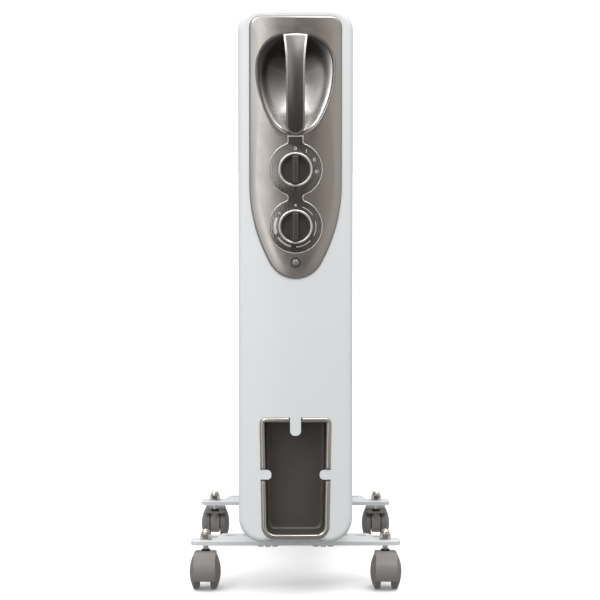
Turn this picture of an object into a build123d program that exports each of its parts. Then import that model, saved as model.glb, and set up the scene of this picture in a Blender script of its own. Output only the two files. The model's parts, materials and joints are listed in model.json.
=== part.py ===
"""Oil filled column radiator on four swivel casters, modelled as its separate pieces.

Frame: +Z up, the control panel faces -Y, X runs across the radiator.  The origin is on
the floor, midway across and midway between the foremost and rearmost points.
All sizes are in millimetres.
"""
from build123d import *
from math import cos, radians, sin
import os

os.makedirs("parts", exist_ok=True)

# ---------------------------------------------------------------- driving dimensions
cover_top = 625.0          # floor to the top of the front cover
cover_half = 60.0          # half the cover's width
cover_wall = 2.5
crown_radius = 330.0       # the front bulges across its width on this radius

fin_count = 8
fin_pitch = 38.5
first_fin = 73.0           # cover face to the middle of the first fin
fin_half = 58.0            # half the fin's width
fin_top = 608.0
hub_low = 104.0            # heights of the two hub bores
hub_high = 556.0
hub_radius = 27.0
hub_bore = 18.0
sheet = 0.8                # fin sheet

handle_proud = 16.0        # foremost point of the handle, ahead of the cover face
hub_cap_thickness = 2.5
plug_height = 3.0

wheel_radius = 19.5
caster_trail = 16.0        # stem axis to wheel axle
stem_x = 98.4              # stems, either side of the middle
stem_radius = 3.0
plate_top = 51.0           # top of the foot plates, where the fins stand
plate_depth = 5.0          # foot plate with its turned-down rim
plate_sheet = 1.5

fit = 0.05                 # running clearance of a shaft in its bore
hole_play = 0.2            # a screw hole's radius is this much larger than the screw's
clear = 20.0               # further than any front piece reaches from the cover's face
through = 40.0             # cuts right through a piece

# ---------------------------------------------------------------- places along the depth
last_fin = first_fin + (fin_count - 1) * fin_pitch
rear_reach = last_fin + fin_pitch / 2 + hub_cap_thickness + plug_height
front_y = handle_proud - (handle_proud + rear_reach) / 2     # the cover's face
first_hub_y = front_y + first_fin - fin_pitch / 2            # front end of the hubs
last_hub_y = front_y + last_fin + fin_pitch / 2              # rear end of the hubs
back_sheet = 1.25
cover_back_y = first_hub_y - back_sheet
cover_depth = cover_back_y - front_y
clamp_front_y = first_hub_y + fin_pitch                      # between fins 1 and 2
clamp_rear_y = last_hub_y - fin_pitch                        # between the last two fins
plate_clamp_offset = 11.25                                   # stems to the U-bolt
stem_front_y = clamp_front_y - plate_clamp_offset
stem_rear_y = clamp_rear_y - plate_clamp_offset

front = Plane.XZ.offset(-front_y)     # local X across, local Y up, normal to the user


def facing(x, y, z):
    """Plane through a point, facing the user."""
    return Plane(origin=(x, y, z), x_dir=(1, 0, 0), z_dir=(0, -1, 0))


def level(x, y, z):
    """Horizontal plane through a point."""
    return Plane(origin=(x, y, z))


def save(part, label):
    part.label = label
    export_step(part, f"parts/{label}.step")


# ---------------------------------------------------------------- front outlines
def arc_end(half, start, tip, tip_radius):
    """Point where a side arc, upright at (half, start), meets the arc round (0, tip)."""
    drop = abs(tip - start)
    side_radius = (half**2 + drop**2 - 2 * drop * tip_radius) / (2 * (half - tip_radius))
    side_centre = Vector(half - side_radius, 0)
    tip_centre = Vector(0, drop - tip_radius)
    between = (tip_centre - side_centre).normalized()
    if tip_radius > side_radius:
        between = -between
    meet = side_centre + between * side_radius
    return (meet.X, start + meet.Y * (1 if tip > start else -1))


cover_corner = 23.5
lobe_bottom = 63.4         # the two lobes under the cover
lobe_corner = 25.0
cover_bottom = 66.4        # between the lobes
lobe_inner = (33.0, 23.0)  # where the lobe starts to rise, and where it has risen
lobe_blend = 8.0


def cover_outline(inset=0.0):
    corners = [
        (cover_half, cover_top),
        (cover_half, lobe_bottom),
        (lobe_inner[0], lobe_bottom),
        (lobe_inner[1], cover_bottom),
    ]
    with BuildSketch(front) as outline:
        with BuildLine():
            Polyline(*corners, *[(-x, z) for x, z in reversed(corners)], close=True)
        make_face()
        fillet(outline.vertices().group_by(Axis.Y)[-1], cover_corner)
        low = outline.vertices().group_by(Axis.Y)[0]
        fillet(low.filter_by(lambda v: abs(v.X) > cover_half - 1), lobe_corner)
        fillet(outline.vertices().filter_by(lambda v: abs(v.X) < lobe_inner[0] + 0.1), lobe_blend)
        if inset:
            offset(amount=-inset)
    return outline.sketch


fascia_top = 616.5
fascia_half = 48.0
fascia_corner = 11.5
fascia_taper = 442.0       # below this the sides close in towards the tip
fascia_tip = 343.1
fascia_tip_radius = 30.0


def fascia_outline(inset=0.0):
    with BuildSketch(front) as outline:
        with BuildLine():
            turn = fascia_top - fascia_corner
            Line((0, fascia_top), (fascia_half - fascia_corner, fascia_top))
            TangentArc((fascia_half - fascia_corner, fascia_top), (fascia_half, turn), tangent=(1, 0))
            Line((fascia_half, turn), (fascia_half, fascia_taper))
            meet = arc_end(fascia_half, fascia_taper, fascia_tip, fascia_tip_radius)
            side = TangentArc((fascia_half, fascia_taper), meet, tangent=(0, -1))
            TangentArc(side @ 1, (0, fascia_tip), tangent=side % 1)
            mirror(about=Plane.YZ)
        make_face()
        if inset:
            offset(amount=-inset)
    return outline.sketch


scoop_half = 39.2
scoop_wide_z = (561.0, 565.0)      # the sides stand upright between these heights
scoop_top = 597.3
scoop_top_radius = 80.0
scoop_bottom = 494.7
scoop_bottom_radius = 28.0
scoop_middle = 548.0


def scoop_outline(y, size=1.0, grow=0.0):
    """Egg-shaped mouth of the hand scoop, drawn about its middle at the given size."""
    heights = (scoop_bottom, *scoop_wide_z, scoop_top)
    bottom, low, high, top = [scoop_middle + size * (z - scoop_middle) for z in heights]
    half = size * scoop_half
    with BuildSketch(facing(0, y, 0)) as outline:
        with BuildLine():
            meet = arc_end(half, high, top, size * scoop_top_radius)
            side = TangentArc((half, high), meet, tangent=(0, 1))
            TangentArc(side @ 1, (0, top), tangent=side % 1)
            Line((half, low), (half, high))
            meet = arc_end(half, low, bottom, size * scoop_bottom_radius)
            side = TangentArc((half, low), meet, tangent=(0, -1))
            TangentArc(side @ 1, (0, bottom), tangent=side % 1)
            mirror(about=Plane.YZ)
        make_face()
        if grow:
            offset(amount=grow)
    return outline.sketch


handle_top = 598.0
handle_bottom = 493.3
handle_edge = 2.0          # width of the bright edge
handle_wide = (12.6, 597.0)        # the handle's outline passes through these points
handle_waist = (9.8, 560.0)
handle_narrow = (9.6, 503.0)


def handle_outline(inset=0.0):
    with BuildSketch(front) as outline:
        with BuildLine():
            TangentArc((0, handle_top), handle_wide, tangent=(1, 0))
            side = Line(handle_narrow, handle_waist)
            TangentArc(handle_waist, handle_wide, tangent=side % 1)
            TangentArc(handle_narrow, (0, handle_bottom), tangent=(0, -1))
            mirror(about=Plane.YZ)
        make_face()
        if inset:
            offset(amount=-inset)
    return outline.sketch


power_z = 457.2            # centres of the two dials and of the lamp
heat_z = 397.8
lamp_z = 360.0
dial_radius = 29.2
neck_half = 9.0
neck_blend = 2.0
neck_top = handle_bottom - 0.4


def bezel_outline(inset=0.0):
    with BuildSketch(front) as outline:
        with Locations((0, power_z), (0, heat_z)):
            Circle(dial_radius)
        with Locations((0, (neck_top + heat_z) / 2)):
            Rectangle(2 * neck_half, neck_top - heat_z)
        inner = outline.vertices().filter_by(lambda v: v.Y < neck_top - 1)
        fillet(inner.filter_by(lambda v: abs(abs(v.X) - neck_half) < 0.01), neck_blend)
        if inset:
            offset(amount=-inset)
    return outline.sketch


tray_top = 196.6
tray_bottom = 67.6
tray_half_top = 37.8
tray_half_low = 35.4
tray_rim = 5.0
tray_top_corner = 6.5
tray_low_corner = 14.0


def tray_outline(inset=0.0):
    with BuildSketch(front) as outline:
        with BuildLine():
            Polyline(
                (-tray_half_top, tray_top),
                (tray_half_top, tray_top),
                (tray_half_low, tray_bottom),
                (-tray_half_low, tray_bottom),
                close=True,
            )
        make_face()
        fillet(outline.vertices().group_by(Axis.Y)[0], tray_low_corner)
        fillet(outline.vertices().group_by(Axis.Y)[-1], tray_top_corner)
        offset(amount=-inset)
    return outline.sketch


hook_top = (11.4, 19.0)    # width and reach of the hook over the top of the tray
hook_side = (10.0, 12.4)   # the same for the two side hooks
hook_side_z = 136.0
hook_root = 4.0            # the hooks' roots lie this far inside the cover's front
hook_round = (5.0, 4.4)    # rounding of the top hook's end and of the side hooks' ends


def hook_outline(grow=0.0):
    """The three round-ended cord hooks that reach from the cover over the tray."""
    top_w = hook_top[0] + 2 * grow
    side_w = hook_side[0] + 2 * grow
    with BuildSketch(front) as outline:
        with Locations((0, tray_top - hook_top[1] / 2 + hook_root)):
            RectangleRounded(top_w, hook_top[1] + 2 * hook_root + 2 * grow, hook_round[0])
        side_middle = tray_half_top - hook_side[1] / 2 + hook_root
        for side in (-1, 1):
            with Locations((side * side_middle, hook_side_z)):
                RectangleRounded(hook_side[1] + 2 * hook_root + 2 * grow, side_w, hook_round[1])
    return outline.sketch


# ---------------------------------------------------------------- crowned front surfaces
skin_reach = 15.0


def crown(proud):
    """Upright drum whose skin is the crowned front, moved outwards by proud."""
    with BuildPart() as drum:
        with BuildSketch(level(0, front_y + crown_radius, 0)):
            Circle(crown_radius + proud)
        extrude(amount=cover_top + 20)
    return drum.part


def skin_layer(outline, outer, inner):
    """Plate of the given outline between two skins parallel to the crowned front."""
    with BuildPart() as layer:
        extrude(outline, amount=skin_reach, both=True)
        add(crown(outer), mode=Mode.INTERSECT)
        add(crown(inner), mode=Mode.SUBTRACT)
    return layer.part


cover_edge = 6.0           # rounding of the cover's front edge


def cover_block(inset, edge):
    """Closed form of the cover, drawn in by inset, with its front edge rounded."""
    with BuildPart() as block:
        extrude(cover_outline(inset), amount=-cover_depth)
        add(crown(-inset), mode=Mode.INTERSECT)
        fillet(block.faces().sort_by(Axis.Y)[0].edges(), edge)
    return block.part


outer_block = cover_block(0.0, cover_edge)

# ---------------------------------------------------------------- front cover
boss_radius = 5.0
boss_length = 16.0
boss_hole = 14.0
boss_places = [(side * 53.4, z) for side in (-1, 1) for z in (100.0, 590.0)]
screw_radius = 1.6
gland_y = front_y + 38.0
gland_radius = 6.4
notch_x = 24.3
notch_size = (3.6, 3.4)
fascia_ledge = 3.0         # the fascia overlaps its opening by this much
tray_play = 0.3            # gap round the tray in its opening
front_cut = 12.0           # depth of the cuts round the tray

with BuildPart() as tray_opening:
    extrude(tray_outline(-tray_play), amount=front_cut, both=True)
    # the cord hooks are left standing over the opening
    extrude(hook_outline(), amount=front_cut, both=True, mode=Mode.SUBTRACT)

with BuildPart() as front_cover:
    add(outer_block)
    add(cover_block(cover_wall, cover_edge - cover_wall), mode=Mode.SUBTRACT)
    # screw bosses along the side walls, open at the back
    with BuildSketch(facing(0, cover_back_y, 0)):
        with Locations(*boss_places):
            Circle(boss_radius)
    extrude(amount=boss_length)
    with BuildSketch(facing(0, cover_back_y, 0)):
        with Locations(*boss_places):
            Circle(screw_radius + fit)
    extrude(amount=boss_hole, mode=Mode.SUBTRACT)
    # opening behind the control fascia
    extrude(fascia_outline(fascia_ledge), amount=clear, both=True, mode=Mode.SUBTRACT)
    add(tray_opening.part, mode=Mode.SUBTRACT)
    # notches in the lower lip and the hole for the cord gland
    with BuildSketch(front):
        with Locations((-notch_x, cover_bottom), (notch_x, cover_bottom)):
            Rectangle(*notch_size)
    extrude(amount=front_cut, both=True, mode=Mode.SUBTRACT)
    with BuildSketch(level(0, gland_y, lobe_bottom)):
        Circle(gland_radius + fit)
    extrude(amount=front_cut, mode=Mode.SUBTRACT)
save(front_cover.part, "front_cover")

# ---------------------------------------------------------------- back plate
flange_radius = 20.0       # element flange and hub caps
vent_rows = 7
vent_pitch = 16.0
vent_columns = 56.0        # between the two columns of vents
vent_middle_z = 400.0
vent_size = (34.0, 4.0)
flange_play = 0.5
plate_inset = 0.6          # the back plate is this much smaller than the cover

with BuildPart() as back_plate:
    extrude(cover_outline(plate_inset), amount=-back_sheet)
    with BuildSketch(front):
        with Locations((0, hub_low), (0, hub_high)):
            Circle(flange_radius + flange_play)
        with Locations(*boss_places):
            Circle(screw_radius + hole_play)
        with Locations((0, vent_middle_z)):
            with GridLocations(vent_columns, vent_pitch, 2, vent_rows):
                SlotOverall(*vent_size)
    extrude(amount=-back_sheet, mode=Mode.SUBTRACT)
back_plate_part = back_plate.part.moved(Location((0, cover_depth, 0)))
save(back_plate_part, "back_plate")

# ---------------------------------------------------------------- control fascia with hand scoop
fascia_proud = 2.0
scoop_depth = 32.0
scoop_floor = 0.66         # size of the scoop's floor against its mouth
scoop_wall = 2.0
scoop_start_y = front_y - 5.0      # the scoop's form starts ahead of the fascia
scoop_flare = 1.02
scoop_round = (8.0, 9.0)           # rounding of its floor, outside and inside
lip_inset = (3.3, 5.3)             # outer and inner edge of the locating lip
lip_reach = (-3.0, -4.0)
upper_seat = (592.5, 16.0, 17.0)   # height, width and length of the handle's seats
lower_seat = (500.75, 14.0, 14.5)
seat_back = 6.0            # the handle's seats run this far behind the cover's face
handle_screw_zs = (588.0, 504.3)
bush_radius = 4.6
lens_radius = 4.0

with BuildPart() as scoop_shell:
    loft(
        [
            scoop_outline(scoop_start_y, scoop_flare, scoop_wall),
            scoop_outline(front_y + scoop_depth, scoop_floor, scoop_wall),
        ]
    )
    fillet(scoop_shell.faces().sort_by(Axis.Y)[-1].edges(), scoop_round[0])
    add(crown(fascia_proud), mode=Mode.INTERSECT)

with BuildPart() as scoop_hollow:
    loft(
        [
            scoop_outline(scoop_start_y, scoop_flare),
            scoop_outline(front_y + scoop_depth - scoop_wall, scoop_floor),
        ]
    )
    fillet(scoop_hollow.faces().sort_by(Axis.Y)[-1].edges(), scoop_round[1])

with BuildPart() as control_fascia:
    add(skin_layer(fascia_outline(), fascia_proud, 0.0))
    # locating lip inside the cover's opening
    add(skin_layer(fascia_outline(lip_inset[0]), 0.0, lip_reach[0]))
    add(skin_layer(fascia_outline(lip_inset[1]), 0.0, lip_reach[1]), mode=Mode.SUBTRACT)
    add(scoop_shell.part)
    add(scoop_hollow.part, mode=Mode.SUBTRACT)
    # two seats that the handle is screwed to
    with BuildSketch(facing(0, front_y + seat_back, 0)):
        for z, width, length in (upper_seat, lower_seat):
            with Locations((0, z)):
                Rectangle(width, length)
    extrude(amount=seat_back + fascia_proud)
    # holes for the handle screws, the dial bushes and the lamp
    with BuildSketch(facing(0, front_y + seat_back, 0)):
        with Locations(*[(0, z) for z in handle_screw_zs]):
            Circle(screw_radius + hole_play)
        with Locations((0, power_z), (0, heat_z)):
            Circle(bush_radius + fit)
        with Locations((0, lamp_z)):
            Circle(lens_radius + 2 * fit)
    extrude(amount=clear, mode=Mode.SUBTRACT)
save(control_fascia.part, "control_fascia")

# ---------------------------------------------------------------- handle and its bright edge
handle_end = 4.5           # the handle's ends stand this far ahead of the cover's face
grip_inner = 6.5           # inner face of the grip at mid length
handle_mid = (handle_top + handle_bottom) / 2
grip_ends = (509.0, 583.0)         # the grip's inner arc runs between these heights
edge_depth = 1.6
handle_hole = 4.2


def handle_side(outer_shift, inner_shift):
    """Bar between two arcs in the side view, wider than the handle."""
    y_end = front_y - handle_end + outer_shift
    y_foot = front_y - fascia_proud + inner_shift
    with BuildPart() as bar:
        with BuildSketch(Plane.YZ):
            with BuildLine():
                outer = ThreePointArc(
                    (y_end, handle_bottom - 1),
                    (front_y - handle_proud + outer_shift, handle_mid),
                    (y_end, handle_top + 1),
                )
                inner = ThreePointArc(
                    (y_foot, grip_ends[0]),
                    (front_y - grip_inner + inner_shift, handle_mid),
                    (y_foot, grip_ends[1]),
                )
                Line(outer @ 1, (y_foot, handle_top + 1))
                Line((y_foot, handle_top + 1), inner @ 1)
                Line(inner @ 0, (y_foot, handle_bottom - 1))
                Line((y_foot, handle_bottom - 1), outer @ 0)
            make_face()
        extrude(amount=clear, both=True)
    return bar.part


with BuildPart() as handle_trim:
    extrude(handle_outline(), amount=clear)
    extrude(handle_outline(handle_edge), amount=clear, mode=Mode.SUBTRACT)
    add(handle_side(0, 0), mode=Mode.INTERSECT)
    add(handle_side(edge_depth, 0), mode=Mode.SUBTRACT)
save(handle_trim.part, "handle_trim")

with BuildPart() as handle:
    extrude(handle_outline(), amount=clear)
    add(handle_side(0, 0), mode=Mode.INTERSECT)
    add(handle_trim.part, mode=Mode.SUBTRACT)
    with BuildSketch(facing(0, front_y - fascia_proud, 0)):
        with Locations(*[(0, z) for z in handle_screw_zs]):
            Circle(screw_radius + fit)
    extrude(amount=handle_hole, mode=Mode.SUBTRACT)
save(handle.part, "handle")

# ---------------------------------------------------------------- dial bezel
bezel_proud = 3.0
trim_proud = 3.6
trim_width = 1.8
dial_places = [(0, power_z), (0, heat_z)]

with BuildPart() as bezel_trim:
    add(skin_layer(bezel_outline(), trim_proud, fascia_proud))
    extrude(bezel_outline(trim_width), amount=clear, mode=Mode.SUBTRACT)
save(bezel_trim.part, "bezel_trim")

with BuildPart() as dial_bezel:
    add(skin_layer(bezel_outline(trim_width), bezel_proud, fascia_proud))
    with BuildSketch(front):
        with Locations(*dial_places):
            Circle(bush_radius + fit)
    extrude(amount=clear, mode=Mode.SUBTRACT)
save(dial_bezel.part, "dial_bezel")

# ---------------------------------------------------------------- knobs, rings and spindles
knob_back_y = front_y - bezel_proud - 0.6      # the knobs clear the bezel
knob_radius = 15.4
ring_radius = 17.8
ring_height = 8.4
knob_lip = 0.8             # the ring stands this much above the knob's rim
scoop_radius = 14.3        # half-moon hollows in the knob
scoop_gap = 0.4            # between a hollow and the grip bar
hollow_depth = 5.2
hollow_taper = 12.0
bar_round = (2.4, 1.0)     # rounding of the bar's ends and of its top edge
ring_round = 0.9
bar_half = 2.9
bar_height = 11.9
spindle_radius = 3.0
spindle_tip_y = front_y - 11.0


def make_knob(z):
    rim = facing(0, knob_back_y - ring_height + knob_lip, z)
    with BuildPart() as knob:
        with BuildSketch(facing(0, knob_back_y, z)):
            Circle(knob_radius)
        extrude(amount=ring_height - knob_lip)
        # half-moon hollows either side of the grip bar
        with BuildSketch(rim):
            Circle(scoop_radius)
            Rectangle(2 * (bar_half + scoop_gap), through, mode=Mode.SUBTRACT)
        extrude(amount=-hollow_depth, taper=hollow_taper, mode=Mode.SUBTRACT)
        with BuildSketch(facing(0, knob_back_y, z)):
            RectangleRounded(2 * bar_half, 2 * scoop_radius, bar_round[0])
        extrude(amount=bar_height)
        fillet(knob.faces().sort_by(Axis.Y)[0].edges(), bar_round[1])
        with BuildSketch(facing(0, knob_back_y, z)):
            Circle(spindle_radius + fit)
        extrude(amount=knob_back_y - spindle_tip_y, mode=Mode.SUBTRACT)
    return knob.part


def make_knob_ring(z):
    with BuildPart() as ring:
        with BuildSketch(facing(0, knob_back_y, z)):
            Circle(ring_radius)
            Circle(knob_radius + fit, mode=Mode.SUBTRACT)
        extrude(amount=ring_height)
        fillet(ring.faces().sort_by(Axis.Y)[0].edges(), ring_round)
    return ring.part


cam_y = front_y + 8.0      # the cam turns inside the switch from here
cam_radius = 8.0
cam_length = 8.0
cam_play = 0.4
spindle_tail = 4.0         # the spindle runs this far behind its cam
cam_disc = 6.0             # radius of the cam's round part
cam_lift = 1.5


def make_spindle(z, cam_nose):
    """Shaft from the knob into its control, with the cam that works the contacts."""
    with BuildPart() as spindle:
        with BuildSketch(facing(0, cam_y + cam_length + spindle_tail, z)):
            Circle(spindle_radius)
        extrude(amount=cam_y + cam_length + spindle_tail - spindle_tip_y)
        with BuildSketch(facing(0, cam_y + cam_length, z)):
            Circle(cam_disc)
            with Locations((cam_nose, 0)):
                Circle(cam_disc - abs(cam_nose) + cam_lift)
        extrude(amount=cam_length)
    return spindle.part


save(make_knob(power_z), "power_knob")
save(make_knob_ring(power_z), "power_knob_ring")
save(make_spindle(power_z, 2.0), "switch_spindle")
save(make_knob(heat_z), "thermostat_knob")
save(make_knob_ring(heat_z), "thermostat_knob_ring")
save(make_spindle(heat_z, -1.5), "thermostat_spindle")

# ---------------------------------------------------------------- switch and thermostat
control_front_y = front_y + 0.9
blade_length = 7.0
blade_width = 6.3
blade_thickness = 0.8
control_round = 2.0


def make_control(z, half_width, half_height, depth, blade_xs):
    """Moulded control with a threaded bush, a cam chamber and rear terminal blades."""
    back_y = control_front_y + depth
    with BuildPart() as control:
        with BuildSketch(facing(0, back_y, z)):
            RectangleRounded(2 * half_width, 2 * half_height, control_round)
        extrude(amount=depth)
        with BuildSketch(facing(0, control_front_y, z)):
            Circle(bush_radius)
        extrude(amount=control_front_y - front_y + bezel_proud)
        with BuildSketch(facing(0, back_y + blade_length, z)):
            with Locations(*[(x, 0) for x in blade_xs]):
                Rectangle(blade_thickness, blade_width)
        extrude(amount=blade_length)
        with BuildSketch(facing(0, cam_y + cam_length + cam_play, z)):
            Circle(cam_radius + cam_play)
        extrude(amount=cam_length + 2 * cam_play, mode=Mode.SUBTRACT)
        with BuildSketch(facing(0, cam_y + cam_length + spindle_tail + cam_play, z)):
            Circle(spindle_radius + fit)
        extrude(amount=through, mode=Mode.SUBTRACT)
    return control.part


switch_blades = (-8.0, 0.0, 8.0)
heat_blades = (-9.0, 9.0)
switch_depth = 23.0
heat_depth = 20.5
save(make_control(power_z, 15.0, 13.5, switch_depth, switch_blades), "rotary_switch")
save(make_control(heat_z, 16.0, 13.0, heat_depth, heat_blades), "thermostat")

# ---------------------------------------------------------------- indicator lamp
lamp_ring_radius = 5.4
lamp_ring_height = 1.3
lamp_ring_round = 0.4
lens_back_y = front_y + 3.0
lens_dome_y = front_y - 2.6        # where the lens starts to dome
lens_tip_y = front_y - 4.4

with BuildPart() as indicator_ring:
    with BuildSketch(facing(0, front_y - fascia_proud, lamp_z)):
        Circle(lamp_ring_radius)
        Circle(lens_radius + hole_play, mode=Mode.SUBTRACT)
    extrude(amount=lamp_ring_height)
    fillet(indicator_ring.faces().sort_by(Axis.Y)[0].edges(), lamp_ring_round)
save(indicator_ring.part, "indicator_ring")

with BuildPart() as indicator_lens:
    with BuildSketch(Plane.YZ):
        with BuildLine():
            lens_edge = (lens_dome_y, lamp_z + lens_radius)
            Line((lens_back_y, lamp_z), (lens_back_y, lamp_z + lens_radius))
            Line((lens_back_y, lamp_z + lens_radius), lens_edge)
            TangentArc((lens_tip_y, lamp_z), lens_edge, tangent=(0, 1))
            Line((lens_tip_y, lamp_z), (lens_back_y, lamp_z))
        make_face()
    revolve(axis=Axis((0, 0, lamp_z), (0, 1, 0)))
save(indicator_lens.part, "indicator_lens")

neon_radius = 2.8
neon_back_y = front_y + 17.0
neon_length = 13.6
neon_round = 2.0
lead_x = 1.3
lead_radius = 0.4
lead_length = 6.0

with BuildPart() as neon_lamp:
    with BuildSketch(facing(0, neon_back_y, lamp_z)):
        Circle(neon_radius)
    extrude(amount=neon_length)
    fillet(neon_lamp.faces().sort_by(Axis.Y)[0].edges(), neon_round)
    with BuildSketch(facing(0, neon_back_y + lead_length, lamp_z)):
        with Locations((-lead_x, 0), (lead_x, 0)):
            Circle(lead_radius)
    extrude(amount=lead_length)
save(neon_lamp.part, "neon_lamp")

# ---------------------------------------------------------------- cord storage tray
tray_depth = 26.0
tray_wall = 1.6
tray_round = (6.0, 7.0)    # rounding of its floor, inside and outside
rim_sheet = 2.8
hook_play = 0.4

with BuildPart() as tray_pocket:
    extrude(tray_outline(tray_rim), amount=-tray_depth)
    fillet(tray_pocket.faces().sort_by(Axis.Y)[-1].edges(), tray_round[0])
    extrude(tray_outline(tray_rim), amount=front_cut)

with BuildPart() as storage_tray:
    # rim that follows the cover's rounded front and lower edge
    extrude(tray_outline(), amount=front_cut, both=True)
    add(outer_block, mode=Mode.INTERSECT)
    add(outer_block.moved(Location((0, rim_sheet, 0))), mode=Mode.SUBTRACT)
    # walls of the pocket
    extrude(tray_outline(tray_rim - tray_wall), amount=-(tray_depth + tray_wall))
    fillet(storage_tray.faces().sort_by(Axis.Y)[-1].edges(), tray_round[1])
    add(crown(-4 * fit), mode=Mode.INTERSECT)
    add(tray_pocket.part, mode=Mode.SUBTRACT)
    # room for the cord hooks, which lie over the rim
    extrude(hook_outline(hook_play), amount=front_cut, both=True, mode=Mode.SUBTRACT)
save(storage_tray.part, "storage_tray")

# ---------------------------------------------------------------- screws
screw_length = 12.0
screw_head_radius = 3.1
screw_head_height = 2.0


def add_screw(plane):
    """Pan head screw whose head stands on the plane and whose shank runs behind it."""
    with BuildPart() as screw:
        with BuildSketch(plane):
            Circle(screw_head_radius)
        extrude(amount=screw_head_height)
        with BuildSketch(plane):
            Circle(screw_radius)
        extrude(amount=-screw_length)
    return screw.part


with BuildPart() as housing_screws:
    for x, z in boss_places:
        rear = Plane(origin=(x, first_hub_y, z), x_dir=(-1, 0, 0), z_dir=(0, 1, 0))
        add(add_screw(rear))
    for z in handle_screw_zs:
        rear = Plane(origin=(0, front_y + seat_back, z), x_dir=(-1, 0, 0), z_dir=(0, 1, 0))
        add(add_screw(rear))
save(housing_screws.part, "housing_screws")

# ---------------------------------------------------------------- fins
fin_bottom = plate_top
fin_corner = 38.0
seam_half = 0.9            # half the thickness of the welded seam
rim_half = 1.9             # folded edge all round
rim_width = 3.0
chamber_half = 42.0        # half the width of the oil chamber
chamber_swell = 8.0        # how far it swells either side of the seam
chamber_top = 594.0
chamber_bottom = 65.0
groove_x = 15.0            # two spot-welded grooves split the chamber in three columns
groove_length = 330.0
hub_blend = 4.0
chamber_corner = 36.0
chamber_round = 4.5        # rounding of the chamber's flat sides
groove_half = 4.0


def fin_outline(inset):
    with BuildSketch(Plane.XZ) as outline:
        with Locations((0, (fin_top + fin_bottom) / 2)):
            RectangleRounded(
                2 * (fin_half - inset), fin_top - fin_bottom - 2 * inset, fin_corner - inset
            )
    return outline.sketch


def chamber_outline(inset):
    with BuildSketch(Plane.XZ) as outline:
        with Locations((0, (chamber_top + chamber_bottom) / 2)):
            RectangleRounded(
                2 * (chamber_half - inset),
                chamber_top - chamber_bottom - 2 * inset,
                chamber_corner - inset,
            )
        with Locations(
            (-groove_x, (hub_low + hub_high) / 2), (groove_x, (hub_low + hub_high) / 2)
        ):
            SlotOverall(
                groove_length, 2 * (groove_half + inset), rotation=90, mode=Mode.SUBTRACT
            )
    return outline.sketch


def oil_space(inset, rounding):
    """The swollen chamber and the two hub necks, drawn in by inset."""
    swell = chamber_swell - inset
    with BuildPart() as space:
        extrude(chamber_outline(inset), amount=swell, both=True)
        fillet(space.faces().group_by(Axis.Y)[0].edges(), rounding)
        fillet(space.faces().group_by(Axis.Y)[-1].edges(), rounding)
        with BuildSketch(Plane.XZ):
            with Locations((0, hub_low), (0, hub_high)):
                Circle(hub_radius - inset)
        extrude(amount=fin_pitch / 2 - inset, both=True)
    return space.part


with BuildPart() as fin:
    # folded rim with the welded seam inside it
    extrude(fin_outline(0), amount=rim_half, both=True)
    extrude(fin_outline(rim_width), amount=rim_half, both=True, mode=Mode.SUBTRACT)
    extrude(fin_outline(rim_width), amount=seam_half, both=True)
    add(oil_space(0, chamber_round))
    necks = fin.edges().filter_by(GeomType.CIRCLE)
    necks = necks.filter_by(lambda e: abs(abs(e.center().Y) - chamber_swell) < 0.01)
    fillet(necks.filter_by(lambda e: abs(e.radius - hub_radius) < 0.01), hub_blend)
    add(oil_space(sheet, chamber_round - sheet), mode=Mode.SUBTRACT)
    with BuildSketch(Plane.XZ):
        with Locations((0, hub_low), (0, hub_high)):
            Circle(hub_bore)
    extrude(amount=fin_pitch, both=True, mode=Mode.SUBTRACT)

for number in range(fin_count):
    place = front_y + first_fin + number * fin_pitch
    save(fin.part.moved(Location((0, place, 0))), f"fin_{number + 1}")

# ---------------------------------------------------------------- hub caps and oil plug
cap_spigot = 2.0
plug_radius = 5.0
plug_hex = 7.5
with BuildPart() as hub_caps:
    for y, z, outward in (
        (first_hub_y, hub_high, -1),
        (last_hub_y, hub_high, 1),
        (last_hub_y, hub_low, 1),
    ):
        cap = Plane(origin=(0, y, z), x_dir=(1, 0, 0), z_dir=(0, outward, 0))
        with BuildSketch(cap):
            Circle(flange_radius)
        extrude(amount=hub_cap_thickness)
        with BuildSketch(cap):
            Circle(hub_bore - fit)
        extrude(amount=-cap_spigot)
    with BuildSketch(facing(0, last_hub_y + hub_cap_thickness, hub_low)):
        Circle(plug_radius)
    extrude(amount=2 * hub_cap_thickness + cap_spigot, mode=Mode.SUBTRACT)
save(hub_caps.part, "hub_caps")

with BuildPart() as oil_plug:
    with BuildSketch(facing(0, last_hub_y + hub_cap_thickness, hub_low)):
        Circle(plug_radius - fit)
    extrude(amount=hub_cap_thickness + cap_spigot)
    with BuildSketch(facing(0, last_hub_y + hub_cap_thickness, hub_low)):
        RegularPolygon(plug_hex, 6)
    extrude(amount=-plug_height)
save(oil_plug.part, "oil_plug")

# ---------------------------------------------------------------- heating element
gasket_thickness = 1.0
flange_thickness = 3.0
tube_radius = 4.0
tube_x = 9.0
tube_z = 7.0
tube_end_y = last_hub_y - 22.0
pin_reach = 10.0
pin_radius = 1.5
insulator_radius = 3.6
insulator_height = 4.0
flange_spigot = 2.0
flange_back_y = first_hub_y - gasket_thickness
flange_front_y = flange_back_y - flange_thickness
loops = [hub_low - tube_z, hub_low + tube_z]

with BuildPart() as element_gasket:
    with BuildSketch(facing(0, first_hub_y, hub_low)):
        Circle(flange_radius)
        Circle(hub_bore, mode=Mode.SUBTRACT)
    extrude(amount=gasket_thickness)
save(element_gasket.part, "element_gasket")

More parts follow.
